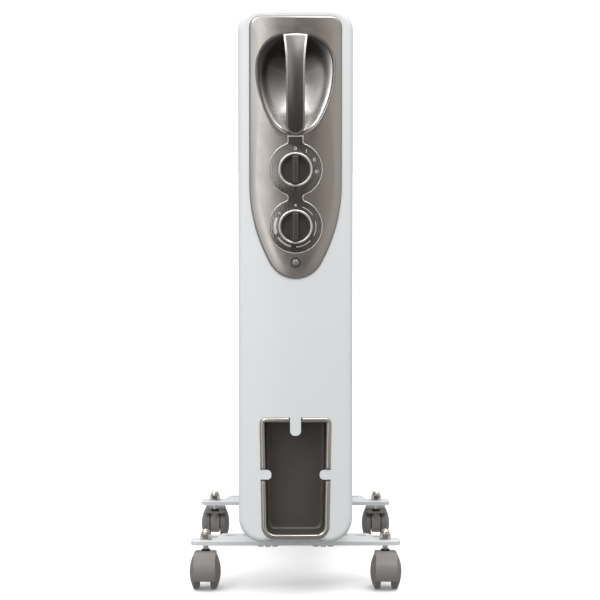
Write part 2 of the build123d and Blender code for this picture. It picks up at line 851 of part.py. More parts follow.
with BuildPart() as heating_element:
    with BuildSketch(facing(0, flange_back_y, hub_low)):
        Circle(flange_radius)
    extrude(amount=flange_thickness)
    with BuildSketch(facing(0, first_hub_y + flange_spigot, hub_low)):
        Circle(hub_bore - 2 * fit)
    extrude(amount=first_hub_y + flange_spigot - flange_back_y)
    # two hairpin tubes in the oil
    for z in loops:
        with BuildLine():
            hairpin = FilletPolyline(
                (-tube_x, first_hub_y, z),
                (-tube_x, tube_end_y, z),
                (tube_x, tube_end_y, z),
                (tube_x, first_hub_y, z),
                radius=tube_x - 0.2,
            )
        with BuildSketch(Plane(origin=hairpin @ 0, z_dir=(0, 1, 0))):
            Circle(tube_radius)
        sweep(path=hairpin)
    # insulators and terminal pins
    with BuildSketch(facing(0, flange_front_y, hub_low)):
        with GridLocations(2 * tube_x, 2 * tube_z, 2, 2):
            Circle(insulator_radius)
    extrude(amount=insulator_height)
    with BuildSketch(facing(0, flange_front_y, hub_low)):
        with GridLocations(2 * tube_x, 2 * tube_z, 2, 2):
            Circle(pin_radius)
    extrude(amount=pin_reach)
save(heating_element.part, "heating_element")

# ---------------------------------------------------------------- terminal block and cutout
block_z = 300.0
block_half = 18.0
block_height = 18.0
block_depth = 16.0
block_round = 2.0
ways = (-12.0, 0.0, 12.0)
way_rows = 9.0
way_radius = 2.0
way_depth = 5.0

with BuildPart() as terminal_block:
    with BuildSketch(facing(0, cover_back_y, block_z)):
        RectangleRounded(2 * block_half, block_height, block_round)
    extrude(amount=block_depth)
    with BuildSketch(facing(0, cover_back_y - block_depth, block_z)):
        with GridLocations(ways[2], way_rows, 3, 2):
            Circle(way_radius)
    extrude(amount=-way_depth, mode=Mode.SUBTRACT)
save(terminal_block.part, "terminal_block")

cutout_x = -26.0
cutout_z = 236.0
cutout_radius = 8.0
cutout_depth = 7.5
cutout_blade = 6.0
cutout_blade_width = 4.8
cutout_round = 1.0

with BuildPart() as thermal_cutout:
    with BuildSketch(facing(cutout_x, cover_back_y, cutout_z)):
        Circle(cutout_radius)
    extrude(amount=cutout_depth)
    fillet(thermal_cutout.faces().sort_by(Axis.Y)[0].edges(), cutout_round)
    with BuildSketch(level(cutout_x, cover_back_y - cutout_depth / 2, cutout_z)):
        Rectangle(cutout_blade_width, blade_thickness)
    extrude(amount=cutout_radius + cutout_blade, both=True)
save(thermal_cutout.part, "thermal_cutout")

# ---------------------------------------------------------------- cord gland, under the housing
gland_bore = 3.6
gland_flange = 5.0
gland_flange_radius = 8.5
gland_chamfer = 1.2
gland_hex = 9.0
gland_nut_height = 4.0
gland_bottom = cover_bottom - gland_flange
gland_top = cover_bottom + 10.0
floor_top = cover_bottom + cover_wall

with BuildPart() as cord_gland:
    with BuildSketch(level(0, gland_y, gland_bottom)):
        Circle(gland_flange_radius)
    extrude(amount=gland_flange)
    chamfer(cord_gland.faces().sort_by(Axis.Z)[0].edges(), gland_chamfer)
    with BuildSketch(level(0, gland_y, cover_bottom)):
        Circle(gland_radius)
    extrude(amount=gland_top - cover_bottom)
    with BuildSketch(level(0, gland_y, floor_top + 2 * fit)):
        RegularPolygon(gland_hex, 6)
    extrude(amount=gland_nut_height)
    with BuildSketch(level(0, gland_y, gland_bottom)):
        Circle(gland_bore)
    extrude(amount=through, mode=Mode.SUBTRACT)
save(cord_gland.part, "cord_gland")

# ---------------------------------------------------------------- wiring inside the housing
wire_radius = 1.2
wire_bend = 5.0
run_y = cover_back_y - block_depth / 2       # wires run up at the block's mid depth
turn_y = front_y + 38.0                      # and turn towards the controls here
block_low = block_z - block_height / 2 - 0.1
block_up = block_z + block_height / 2 + 0.1
switch_end_y = control_front_y + switch_depth + blade_length + 0.1
heat_end_y = control_front_y + heat_depth + blade_length + 0.1
pin_end_y = flange_front_y - pin_reach + 1.6
pin_top = hub_low + tube_z + 1.6

wires = [
    # gland to the terminal block: three cores of the supply
    *[
        [
            (core * 0.22, gland_y, gland_top + 0.2),
            (core * 0.22, gland_y, 110.0),
            (core, run_y, 200.0),
            (core, run_y, block_low),
        ]
        for core in ways
    ],
    # terminal block to the switch
    [
        (ways[0], run_y, block_up),
        (ways[0], run_y, 420.0),
        (-8.0, turn_y, power_z),
        (-8.0, switch_end_y, power_z),
    ],
    # switch to the thermostat
    [
        (8.0, switch_end_y, power_z),
        (8.0, turn_y, power_z),
        (9.0, turn_y, heat_z),
        (9.0, heat_end_y, heat_z),
    ],
    # thermostat down to the thermal cutout
    [
        (-9.0, heat_end_y, heat_z),
        (-9.0, turn_y, heat_z),
        (cutout_x, turn_y, 330.0),
        (cutout_x, cover_back_y - cutout_depth / 2, 275.0),
        (cutout_x, cover_back_y - cutout_depth / 2, cutout_z + cutout_radius + cutout_blade + 0.1),
    ],
    # cutout down to the element, and the element's return to the block
    [
        (cutout_x, cover_back_y - cutout_depth / 2, cutout_z - cutout_radius - cutout_blade - 0.1),
        (cutout_x, cover_back_y - cutout_depth / 2, 165.0),
        (-tube_x, pin_end_y, 132.0),
        (-tube_x, pin_end_y, pin_top),
    ],
    [
        (14.5, run_y + 2.0, block_low),
        (14.5, run_y + 2.0, 215.0),
        (24.0, pin_end_y, 170.0),
        (tube_x, pin_end_y, 135.0),
        (tube_x, pin_end_y, pin_top),
    ],
]

with BuildPart() as wiring:
    for route in wires:
        with BuildLine():
            core = FilletPolyline(*route, radius=wire_bend)
        with BuildSketch(Plane(origin=core @ 0, z_dir=core % 0)):
            Circle(wire_radius)
        sweep(path=core)
save(wiring.part, "wiring")

# ---------------------------------------------------------------- foot plates
plate_half = 114.5
arm_half_depth = 10.0
wide_half = 87.0           # the middle of the plate is wider, to carry two fins
wide_rear_half = 82.0
wide_reach = 32.5
plate_corners = (6.5, 4.0, 2.5)    # at the arms' ends, the wide part and its shoulders
plate_edge = 1.2
slot_xs = (-72.0, -52.0, 52.0, 72.0)
slot_y = 21.0
slot_size = (12.0, 4.5)
clamp_x = hub_radius + 0.4 + 3.0
rod_radius = 3.0
plate_under = plate_top - plate_sheet


def plate_outline(y, inset=0.0):
    with BuildSketch(level(0, 0, plate_top - plate_depth)) as outline:
        with BuildLine():
            Polyline(
                (-plate_half, y - arm_half_depth),
                (plate_half, y - arm_half_depth),
                (plate_half, y + arm_half_depth),
                (wide_half, y + arm_half_depth),
                (wide_rear_half, y + wide_reach),
                (-wide_rear_half, y + wide_reach),
                (-wide_half, y + arm_half_depth),
                (-plate_half, y + arm_half_depth),
                close=True,
            )
        make_face()
        fillet(outline.vertices().filter_by(lambda v: abs(v.X) > plate_half - 1), plate_corners[0])
        fillet(outline.vertices().group_by(Axis.Y)[-1], plate_corners[1])
        shoulders = outline.vertices().filter_by(lambda v: abs(abs(v.X) - wide_half) < 0.01)
        fillet(shoulders, plate_corners[2])
        if inset:
            offset(amount=-inset)
    return outline.sketch


def make_foot_plate(y):
    """Pressed plate with a turned-down rim, its stem holes, clamp holes and slots."""
    with BuildPart() as plate:
        extrude(plate_outline(y), amount=plate_depth)
        fillet(plate.faces().sort_by(Axis.Z)[-1].edges(), plate_edge)
        extrude(plate_outline(y, plate_sheet), amount=plate_depth - plate_sheet, mode=Mode.SUBTRACT)
        with BuildSketch(level(0, y, plate_top - plate_depth)):
            with Locations((-stem_x, 0), (stem_x, 0)):
                Circle(stem_radius + fit)
            with Locations((-clamp_x, plate_clamp_offset), (clamp_x, plate_clamp_offset)):
                Circle(rod_radius + hole_play)
            with Locations(*[(x, slot_y) for x in slot_xs]):
                SlotOverall(*slot_size)
        extrude(amount=through, mode=Mode.SUBTRACT)
    return plate.part


save(make_foot_plate(stem_front_y), "front_foot_plate")
save(make_foot_plate(stem_rear_y), "rear_foot_plate")

# ---------------------------------------------------------------- U-bolts and wing nuts
rod_end = 40.5
clamp_ys = (clamp_front_y, clamp_rear_y)
washer_thickness = 1.2
washer_radius = 7.0
boss_outer = 5.2           # the wing nut's round middle
nut_height = 6.0
wing_x = 8.0
wing_drop = 5.6
wing_size = (9.0, 7.0, 3.0)        # length, height and rounding of a wing
wing_half = 1.1

with BuildPart() as u_bolts:
    for y in clamp_ys:
        with BuildLine():
            Line((-clamp_x, y, rod_end), (-clamp_x, y, hub_low))
            ThreePointArc((-clamp_x, y, hub_low), (0, y, hub_low + clamp_x), (clamp_x, y, hub_low))
            Line((clamp_x, y, hub_low), (clamp_x, y, rod_end))
        with BuildSketch(level(-clamp_x, y, rod_end)):
            Circle(rod_radius)
        sweep()
save(u_bolts.part, "u_bolts")

with BuildPart() as wing_nuts:
    for y in clamp_ys:
        for side in (-1, 1):
            with BuildSketch(level(side * clamp_x, y, plate_under)):
                Circle(washer_radius)
            extrude(amount=-washer_thickness)
            with BuildSketch(level(side * clamp_x, y, plate_under - washer_thickness)):
                Circle(boss_outer)
            extrude(amount=-nut_height)
            with BuildSketch(facing(side * clamp_x, y, plate_under - wing_drop)):
                with Locations((-wing_x, 0), (wing_x, 0)):
                    RectangleRounded(*wing_size)
            extrude(amount=wing_half, both=True)
            with BuildSketch(level(side * clamp_x, y, plate_under)):
                Circle(rod_radius + fit)
            extrude(amount=-through, mode=Mode.SUBTRACT)
save(wing_nuts.part, "wing_nuts")

# ---------------------------------------------------------------- stems, collars, cap nuts
stem_places = {
    "front_left": (-stem_x, stem_front_y, -1),
    "front_right": (stem_x, stem_front_y, -1),
    "rear_left": (-stem_x, stem_rear_y, 1),
    "rear_right": (stem_x, stem_rear_y, 1),
}
stem_bottom = 20.0
stem_top = 58.0
roof_top = 37.6            # flat top of the caster, around the stem
nut_washer = 1.0
nut_base = plate_top + nut_washer
nut_hex = 5.0              # height of the hexagon under the dome
nut_top = 62.6
nut_corner = 6.0           # from the middle to the hexagon's corners
washer_outer = 6.4
collar_radius = 4.9
collar_height = 2.5
collar_gap = 0.3
collar_round = 0.8

with BuildPart() as caster_stems:
    for x, y, _ in stem_places.values():
        with BuildSketch(level(x, y, stem_bottom)):
            Circle(stem_radius)
        extrude(amount=stem_top - stem_bottom)
save(caster_stems.part, "caster_stems")

with BuildPart() as stem_collars:
    for x, y, _ in stem_places.values():
        with BuildSketch(level(x, y, roof_top + collar_gap)):
            Circle(collar_radius)
            Circle(stem_radius + fit, mode=Mode.SUBTRACT)
        extrude(amount=collar_height)
    upper = stem_collars.edges().group_by(Axis.Z)[-1]
    fillet(upper.filter_by(lambda e: e.radius > collar_radius - 1), collar_round)
save(stem_collars.part, "stem_collars")

with BuildPart() as nut_washers:
    for x, y, _ in stem_places.values():
        with BuildSketch(level(x, y, plate_top)):
            Circle(washer_outer)
            Circle(stem_radius + fit, mode=Mode.SUBTRACT)
        extrude(amount=nut_washer)
save(nut_washers.part, "nut_washers")

dome_radius = 4.9


def make_dome_nut(x, y):
    """Cap nut: a dome over a hexagon, bored for the stem's end."""
    with BuildPart() as nut:
        with BuildSketch(level(x, y, nut_base)):
            Circle(dome_radius)
        extrude(amount=nut_top - nut_base)
        fillet(nut.faces().sort_by(Axis.Z)[-1].edges(), dome_radius - hole_play)
        with BuildSketch(level(x, y, nut_base)):
            RegularPolygon(nut_corner, 6, major_radius=True)
        extrude(amount=nut_hex)
        with BuildSketch(level(x, y, nut_base)):
            Circle(stem_radius + fit)
        extrude(amount=stem_top - nut_base, mode=Mode.SUBTRACT)
    return nut.part


with BuildPart() as dome_nuts:
    for x, y, _ in stem_places.values():
        add(make_dome_nut(x, y))
save(dome_nuts.part, "dome_nuts")

# ---------------------------------------------------------------- twin-wheel casters
drum_radius = 21.2
pocket_radius = 20.0
hood_half = 12.0
hood_round = 1.0
web_half = 5.4
hood_bottom = 12.0         # lower edge of the hood above the floor
roof_sheet = 2.0
roof_reach = 6.5           # roof behind the stem's axis
roof_length = 20.0
roof_inset = 0.4
roof_corner = 2.4
leg_gap = 9.0              # open side of the wheel pockets, from the axle towards the stem
socket_radius = 4.4
socket_bottom = 15.0
axle_radius = 2.5
axle_half = 15.6
axle_fit = 0.02
stem_play = 0.5            # below the stem's end
wheel_inner = 6.2          # inner face of each wheel from the middle
wheel_outer = 17.0         # top of the domed outer face
dome_start = 12.0
wheel_hub = (6.0, 6.6)     # radius of the hub at its face and at the hollow's floor
wheel_rim = (17.2, 16.0)   # inner radius of the tyre there
wheel_web = 11.0           # floor of the hollow from the middle
tyre_round = 0.8
axle_end_play = 0.2


def make_hood(x, y, back):
    """Hood over two wheels; back is the side of the axle that the wheels trail on."""
    axle_y = y + back * caster_trail
    side = Plane(origin=(x, axle_y, wheel_radius), x_dir=(0, -back, 0), z_dir=(-back, 0, 0))
    with BuildPart() as hood:
        # drawn looking along the axle: local X towards the stem, local Y up
        with BuildSketch(side):
            Circle(drum_radius)
        extrude(amount=hood_half, both=True)
        fillet(hood.edges().filter_by(GeomType.CIRCLE), hood_round)
        roof_middle = caster_trail + roof_reach - roof_length / 2
        with BuildSketch(side):
            with Locations((roof_middle, roof_top - wheel_radius - roof_sheet / 2)):
                Rectangle(roof_length, roof_sheet)
        extrude(amount=hood_half - roof_inset, both=True)
        corners = hood.edges().filter_by(Axis.Z).filter_by(
            lambda e: (e.center().Y - y) * back < 1 - roof_reach
        )
        fillet(corners, roof_corner)
        with BuildSketch(level(x, y, socket_bottom)):
            Circle(socket_radius)
        extrude(amount=roof_top - socket_bottom)
        # wheel pockets and the open side towards the stem
        for wheel_side in (-1, 1):
            pocket = side.offset(wheel_side * (web_half + clear))
            under_roof = roof_top - wheel_radius - roof_sheet
            with BuildSketch(pocket):
                Circle(pocket_radius)
                with Locations((leg_gap + through / 2, under_roof - through)):
                    Rectangle(through, 2 * through)
            extrude(amount=clear, both=True, mode=Mode.SUBTRACT)
        with BuildSketch(side):
            with Locations((0, hood_bottom - wheel_radius - through / 2)):
                Rectangle(2 * through, through)
        extrude(amount=through, both=True, mode=Mode.SUBTRACT)
        with BuildSketch(side):
            Circle(axle_radius + axle_fit)
        extrude(amount=through, both=True, mode=Mode.SUBTRACT)
        with BuildSketch(level(x, y, stem_bottom - stem_play)):
            Circle(stem_radius + fit)
        extrude(amount=through, mode=Mode.SUBTRACT)
    return hood.part


def make_axle(x, y, back):
    axle_y = y + back * caster_trail
    with BuildPart() as axle:
        with BuildSketch(Plane(origin=(x, axle_y, wheel_radius), z_dir=(1, 0, 0))):
            Circle(axle_radius)
        extrude(amount=axle_half, both=True)
    return axle.part


def make_wheel(x, y, back, side):
    """Wheel with a hollow inner face and a domed outer face, turned about its axle."""
    axle_y = y + back * caster_trail
    with BuildPart() as wheel:
        middle = Plane(origin=(x, axle_y, wheel_radius), x_dir=(side, 0, 0), z_dir=(0, -1, 0))
        with BuildSketch(middle):
            with BuildLine():
                tyre_start = (wheel_inner, wheel_radius - tyre_round)
                tyre_end = (wheel_inner + tyre_round, wheel_radius)
                Polyline(
                    (wheel_inner, axle_radius + fit),
                    (wheel_inner, wheel_hub[0]),
                    (wheel_web, wheel_hub[1]),
                    (wheel_web, wheel_rim[1]),
                    (wheel_inner, wheel_rim[0]),
                    tyre_start,
                )
                TangentArc(tyre_start, tyre_end, tangent=(0, 1))
                Line(tyre_end, (dome_start, wheel_radius))
                dome_rise = wheel_outer - dome_start
                dome_curve = (wheel_radius**2 + dome_rise**2) / (2 * dome_rise)
                RadiusArc((dome_start, wheel_radius), (wheel_outer, 0), dome_curve)
                bore_end = axle_half + axle_end_play
                Polyline(
                    (wheel_outer, 0),
                    (bore_end, 0),
                    (bore_end, axle_radius + fit),
                    (wheel_inner, axle_radius + fit),
                )
            make_face()
        revolve(axis=Axis((x, axle_y, wheel_radius), (1, 0, 0)))
    return wheel.part


for name, (x, y, back) in stem_places.items():
    save(make_hood(x, y, back), f"{name}_hood")
    save(make_axle(x, y, back), f"{name}_axle")
    save(make_wheel(x, y, back, -1), f"{name}_wheel_l")
    save(make_wheel(x, y, back, 1), f"{name}_wheel_r")
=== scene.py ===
"""Looks of the oil filled radiator.

Materials for every piece, the shaped pieces of the front, the dial marks, stage, light and camera.
All lengths are metres, in the frame of the CAD model: +Z up, the control panel faces -Y.
"""
import json
from math import atan2, cos, hypot, pi, radians, sin, sqrt

import bpy
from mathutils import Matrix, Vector


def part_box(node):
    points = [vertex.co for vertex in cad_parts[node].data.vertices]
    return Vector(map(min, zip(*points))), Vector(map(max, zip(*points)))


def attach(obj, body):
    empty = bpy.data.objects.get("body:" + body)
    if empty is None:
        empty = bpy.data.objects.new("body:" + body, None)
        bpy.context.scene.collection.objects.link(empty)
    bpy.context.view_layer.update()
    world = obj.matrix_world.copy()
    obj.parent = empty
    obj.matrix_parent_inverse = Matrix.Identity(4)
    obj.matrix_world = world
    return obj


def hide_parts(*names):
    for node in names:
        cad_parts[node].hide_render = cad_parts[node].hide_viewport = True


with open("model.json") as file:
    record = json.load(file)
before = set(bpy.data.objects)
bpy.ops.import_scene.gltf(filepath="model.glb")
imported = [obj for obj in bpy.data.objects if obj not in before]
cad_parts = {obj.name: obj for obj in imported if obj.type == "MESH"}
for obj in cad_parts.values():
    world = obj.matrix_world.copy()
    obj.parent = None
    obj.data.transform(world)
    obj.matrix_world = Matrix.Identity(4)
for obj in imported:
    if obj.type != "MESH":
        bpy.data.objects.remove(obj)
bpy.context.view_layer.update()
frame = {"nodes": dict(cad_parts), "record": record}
nodes = frame["nodes"]
MM = 0.001

# ---------------------------------------------------------------- places taken from the frame
front_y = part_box("front_cover")[0].y       # the cover's face, at its middle
crown_radius = 330 * MM                    # the face bulges across its width


def crown_y(x, proud=0.0):
    """Depth of a skin that stands proud of the crowned face, at a place across it."""
    return front_y + crown_radius - sqrt((crown_radius + proud) ** 2 - x * x)


# ---------------------------------------------------------------- node tree helpers
FLAKE_SCALE = 5200                         # metallic flakes of about a fifth of a millimetre
MIX_INPUTS = (6, 7)                        # the two colours of a mix node
MIX_OUTPUT = 2


class Look:
    """A material under construction: its tree, its shader and its object coordinates."""

    def __init__(self, name, roughness=0.5, metallic=0.0, coat=0.0, coat_roughness=0.1, ior=1.5):
        self.material = bpy.data.materials.new(name)
        self.material.use_nodes = True
        self.tree = self.material.node_tree
        self.shader = self.tree.nodes["Principled BSDF"]
        for socket, value in (
            ("Roughness", roughness),
            ("Metallic", metallic),
            ("Coat Weight", coat),
            ("Coat Roughness", coat_roughness),
            ("IOR", ior),
        ):
            self.shader.inputs[socket].default_value = value
        self.place = self.node("ShaderNodeTexCoord").outputs["Object"]

    def node(self, kind, **settings):
        made = self.tree.nodes.new(kind)
        for key, value in settings.items():
            setattr(made, key, value)
        return made

    def link(self, source, target):
        self.tree.links.new(source, target)

    def stretched(self, stretch):
        mapping = self.node("ShaderNodeMapping")
        mapping.inputs["Scale"].default_value = stretch
        self.link(self.place, mapping.inputs["Vector"])
        return mapping.outputs["Vector"]

    def noise(self, scale, detail=3.0, roughness=0.5, stretch=None):
        made = self.node("ShaderNodeTexNoise")
        made.inputs["Scale"].default_value = scale
        made.inputs["Detail"].default_value = detail
        made.inputs["Roughness"].default_value = roughness
        self.link(self.stretched(stretch) if stretch else self.place, made.inputs["Vector"])
        return made.outputs["Fac"]

    def axis(self, name):
        split = self.node("ShaderNodeSeparateXYZ")
        self.link(self.place, split.inputs[0])
        return split.outputs[name]

    def span(self, source, from_low, from_high, to_low=0.0, to_high=1.0, smooth=False):
        made = self.node("ShaderNodeMapRange")
        if smooth:
            made.interpolation_type = "SMOOTHSTEP"
        self.link(source, made.inputs["Value"])
        for socket, value in (
            ("From Min", from_low),
            ("From Max", from_high),
            ("To Min", to_low),
            ("To Max", to_high),
        ):
            made.inputs[socket].default_value = value
        return made.outputs["Result"]

    def mix(self, factor, first, second):
        """Colour between two, each a colour or an output."""
        made = self.node("ShaderNodeMix", data_type="RGBA")
        self.link(factor, made.inputs["Factor"])
        for index, value in zip(MIX_INPUTS, (first, second)):
            if isinstance(value, bpy.types.NodeSocket):
                self.link(value, made.inputs[index])
            else:
                made.inputs[index].default_value = (*value, 1.0)
        return made.outputs[MIX_OUTPUT]

    def maths(self, operation, first, second):
        made = self.node("ShaderNodeMath", operation=operation)
        for socket, value in zip(made.inputs, (first, second)):
            if isinstance(value, bpy.types.NodeSocket):
                self.link(value, socket)
            else:
                socket.default_value = value
        return made.outputs[0]

    def colour(self, source):
        self.link(source, self.shader.inputs["Base Color"])

    def uneven(self, scale, detail, low, high):
        """Roughness that wanders between two values over the surface."""
        wander = self.span(self.noise(scale, detail), 0.3, 0.7, low, high)
        self.link(wander, self.shader.inputs["Roughness"])

    def flake(self):
        """How much a metallic flake shows at a place."""
        return self.span(self.noise(FLAKE_SCALE, 2, 0.7), 0.35, 0.68)

    def bump(self, height, distance, strength=1.0):
        made = self.node("ShaderNodeBump")
        made.inputs["Distance"].default_value = distance
        made.inputs["Strength"].default_value = strength
        self.link(height, made.inputs["Height"])
        self.link(made.outputs["Normal"], self.shader.inputs["Normal"])


def shade(colour, factor):
    return tuple(channel * factor for channel in colour)


# ---------------------------------------------------------------- materials
def enamel(name, colour, roughness=0.28):
    """Baked paint on sheet steel: a faint orange peel under a soft gloss."""
    look = Look(name, coat=0.25, coat_roughness=0.18)
    look.colour(look.mix(look.noise(9, 2), shade(colour, 0.965), shade(colour, 1.02)))
    look.uneven(60, 4, roughness - 0.05, roughness + 0.07)
    look.bump(look.noise(420, 2), 0.04 * MM, 0.5)
    return look.material


def moulding(name, colour, roughness, grain=1800, depth=0.02, coat=0.0, mottle=0.05):
    """Moulded plastic: fine spark-eroded grain, soft mottling and handling sheen."""
    look = Look(name, coat=coat, coat_roughness=0.15)
    cloud = look.mix(look.noise(22, 3), shade(colour, 1 - mottle), shade(colour, 1 + mottle))
    speck = look.span(look.noise(grain, 1), 0.42, 0.62)
    look.colour(look.mix(speck, cloud, shade(colour, 0.93)))
    look.uneven(45, 4, roughness - 0.06, roughness + 0.07)
    look.bump(look.noise(grain, 3, 0.6), depth * MM, 0.6)
    return look.material


def pearl(name, colour, roughness=0.2, metallic=0.92):
    """Metallic lacquer over plastic: tiny flakes under a clear coat."""
    look = Look(name, metallic=metallic, coat=0.35, coat_roughness=0.08)
    cloud = look.mix(look.noise(14, 2), shade(colour, 0.95), shade(colour, 1.05))
    look.colour(look.mix(look.flake(), cloud, shade(colour, 1.10)))
    look.uneven(70, 4, roughness - 0.04, roughness + 0.05)
    look.bump(look.noise(FLAKE_SCALE, 2, 0.7), 0.004 * MM, 0.12)
    return look.material


def bright_metal(name, colour, roughness=0.12, scratches=(900, 900, 60)):
    """Plated or turned metal with faint lay and a slightly uneven polish."""
    look = Look(name, metallic=1.0)
    lay = look.noise(1, 4, 0.6, stretch=scratches)
    look.colour(look.mix(lay, shade(colour, 0.9), shade(colour, 1.04)))
    polish = look.span(lay, 0.3, 0.7, roughness * 0.75, roughness * 1.35)
    look.link(polish, look.shader.inputs["Roughness"])
    look.bump(lay, 0.01 * MM, 0.35)
    return look.material


def glassy(name, colour, roughness=0.12):
    """Translucent moulded lens with a fine internal haze."""
    look = Look(name, coat=0.6, coat_roughness=0.05, ior=1.49)
    look.colour(look.mix(look.noise(900, 3), shade(colour, 0.88), shade(colour, 1.08)))
    look.uneven(500, 2, roughness * 0.7, roughness * 1.4)
    look.shader.inputs["Subsurface Weight"].default_value = 0.15
    look.shader.inputs["Subsurface Radius"].default_value = (1.5 * MM, 1.2 * MM, 1.0 * MM)
    look.bump(look.noise(900, 2), 0.008 * MM, 0.3)
    return look.material


def scoop_painted_shading():
    """The fascia's lacquer inside the hand scoop, with painted shade towards its top left and
    painted light lower down and up its right wall.
    """
    look = Look("scoop_painted_shading", metallic=0.92, coat=0.35, coat_roughness=0.08)
    leaning = look.maths("MULTIPLY", look.axis("X"), SCOOP_SLANT)
    slanted = look.maths("SUBTRACT", look.axis("Z"), leaning)
    upward = look.span(slanted, *SCOOP_SHADE_FADE, smooth=True)
    flake = look.flake()
    light = look.mix(flake, *SCOOP_PAINTED_LIGHT)
    painted_shade = look.mix(flake, *SCOOP_PAINTED_SHADE)
    look.colour(look.mix(upward, light, painted_shade))
    look.uneven(70, 3, 0.22, 0.3)
    return look.material


def handle_painted_shading():
    """Metallic lacquer with painted shade, darkening towards the lower end of the grip."""
    look = Look("handle_painted_shading", metallic=0.9, coat=0.3, coat_roughness=0.1)
    upward = look.span(look.axis("Z"), *HANDLE_SHADE_FADE, smooth=True)
    flake = look.flake()
    light = look.mix(flake, *HANDLE_PAINTED_LIGHT)
    painted_shade = look.mix(flake, *HANDLE_PAINTED_SHADE)
    look.colour(look.mix(upward, painted_shade, light))
    look.uneven(70, 3, 0.32, 0.38)
    return look.material


def bezel_painted_light():
    """Satin lacquer of the dial plate, with painted light: lighter towards its right side."""
    look = Look("bezel_painted_light", metallic=0.8, coat=0.35, coat_roughness=0.12)
    rightward = look.span(look.axis("X"), *BEZEL_PAINTED_LIGHT_FADE, smooth=True)
    cloud = look.mix(look.noise(14, 2), shade(TAUPE, 0.20), shade(TAUPE, 0.22))
    look.colour(look.mix(rightward, cloud, shade(TAUPE, 0.40)))
    look.uneven(70, 4, 0.28, 0.36)
    return look.material


WHITE_PLASTIC = (0.735, 0.760, 0.770)
WHITE_ENAMEL = (0.73, 0.745, 0.75)
TAUPE = (0.42, 0.395, 0.375)
DARK_TAUPE = (0.070, 0.062, 0.057)
GREY_TAUPE = (0.205, 0.190, 0.178)
NICKEL = (0.66, 0.62, 0.57)
SILVER = (0.86, 0.86, 0.85)
BLACK = (0.03, 0.03, 0.03)
COAL = (0.012, 0.012, 0.012)

# painted light and shade: each lacquer has a pair of colours for its painted light and another for
# its painted shade, each without and with a flake, and places between which it fades
SCOOP_PAINTED_LIGHT = ((0.85, 0.82, 0.79), (0.88, 0.85, 0.82))
SCOOP_PAINTED_SHADE = ((0.070, 0.064, 0.060), (0.09, 0.083, 0.078))
SCOOP_SHADE_FADE = (0.516, 0.580)
SCOOP_SLANT = 0.55                         # how far the fade leans over to the right
HANDLE_PAINTED_LIGHT = ((0.105, 0.099, 0.094), (0.125, 0.118, 0.112))
HANDLE_PAINTED_SHADE = ((0.085, 0.077, 0.072), (0.11, 0.10, 0.095))
HANDLE_SHADE_FADE = (0.495, 0.560)
BEZEL_PAINTED_LIGHT_FADE = (0.004, 0.024)

looks = {
    "cover": moulding(
        "cover_white", WHITE_PLASTIC, 0.34, grain=2600, depth=0.006, coat=0.2, mottle=0.012
    ),
    "back": enamel("back_enamel", WHITE_ENAMEL),
    "fascia": pearl("fascia_pearl", TAUPE),
    "handle": handle_painted_shading(),
    "bright_trim": bright_metal("bright_trim", shade(SILVER, 0.95), 0.3),
    "bezel": bezel_painted_light(),
    "knob": moulding(
        "knob_satin", shade(DARK_TAUPE, 0.75), 0.24, grain=3000, depth=0.004, coat=0.5
    ),
    "spindle": moulding("nylon", (0.72, 0.70, 0.64), 0.45),
    "control_body": moulding("phenolic", BLACK, 0.4),
    "lamp_ring": moulding("lamp_ring_black", (0.012, 0.011, 0.010), 0.5),
    "lens": glassy("lamp_lens", (0.19, 0.185, 0.18)),
    "lamp_glass": glassy("neon_glass", (0.75, 0.55, 0.42)),
    "tray": moulding(
        "tray_satin", (0.060, 0.053, 0.048), 0.36, grain=2200, depth=0.012, coat=0.15
    ),
    "screw": bright_metal("zinc_screw", (0.6, 0.6, 0.6), 0.3),
    "fin": enamel("fin_enamel", WHITE_ENAMEL),
    "cap": enamel("cap_enamel", WHITE_ENAMEL, 0.3),
    "plug": bright_metal("brass_plug", (0.62, 0.44, 0.2), 0.25),
    "gasket": moulding("gasket_rubber", (0.02, 0.02, 0.02), 0.7),
    "element": bright_metal("element_steel", (0.5, 0.48, 0.45), 0.3),
    "terminal": moulding("terminal_nylon", (0.68, 0.65, 0.56), 0.45),
    "cutout": moulding("cutout_phenolic", BLACK, 0.4),
    "gland": moulding("gland_grey", (0.05, 0.05, 0.052), 0.45),
    "wire": moulding("wire_rubber", (0.09, 0.09, 0.1), 0.5),
    "plate": enamel("plate_enamel", (0.70, 0.72, 0.725), 0.33),
    "fastener": bright_metal("zinc_plate", (0.64, 0.63, 0.6), 0.28),
    "stem": bright_metal("stem_steel", (0.62, 0.6, 0.57), 0.22, scratches=(300, 300, 2400)),
    "collar": moulding("collar_black", COAL, 0.35),
    "cap_nut": bright_metal("nickel", NICKEL, 0.1),
    "caster": moulding("caster_grey", GREY_TAUPE, 0.42, grain=1600, depth=0.03),
    "wheel": moulding("wheel_grey", shade(GREY_TAUPE, 0.86), 0.46, grain=1400, depth=0.04),
    "marks": moulding("dial_print", (0.60, 0.59, 0.57), 0.5),
}
# painted shade: the handle's trim takes a dimmed copy of the bright trim's silver, which damps the
# ceiling's reflection on it
shaded_handle_edge = bright_metal("shaded_handle_edge", shade(SILVER, 0.45), 0.36)
# painted shade: the scoop's lip takes a darker copy of the fascia's lacquer
lip_painted_shade = pearl("lip_shaded_pearl", shade(TAUPE, 0.55), 0.3)

for entry in frame["record"]["subparts"]:
    node = nodes[entry["node"]]
    node.data.materials.clear()
    node.data.materials.append(looks[entry["material_slot"]])

# the handle's trim gets the dimmed, shaded silver
nodes["handle_trim"].data.materials[0] = shaded_handle_edge


# ---------------------------------------------------------------- mesh helpers
TINY = 1e-9                                # shorter than any real length


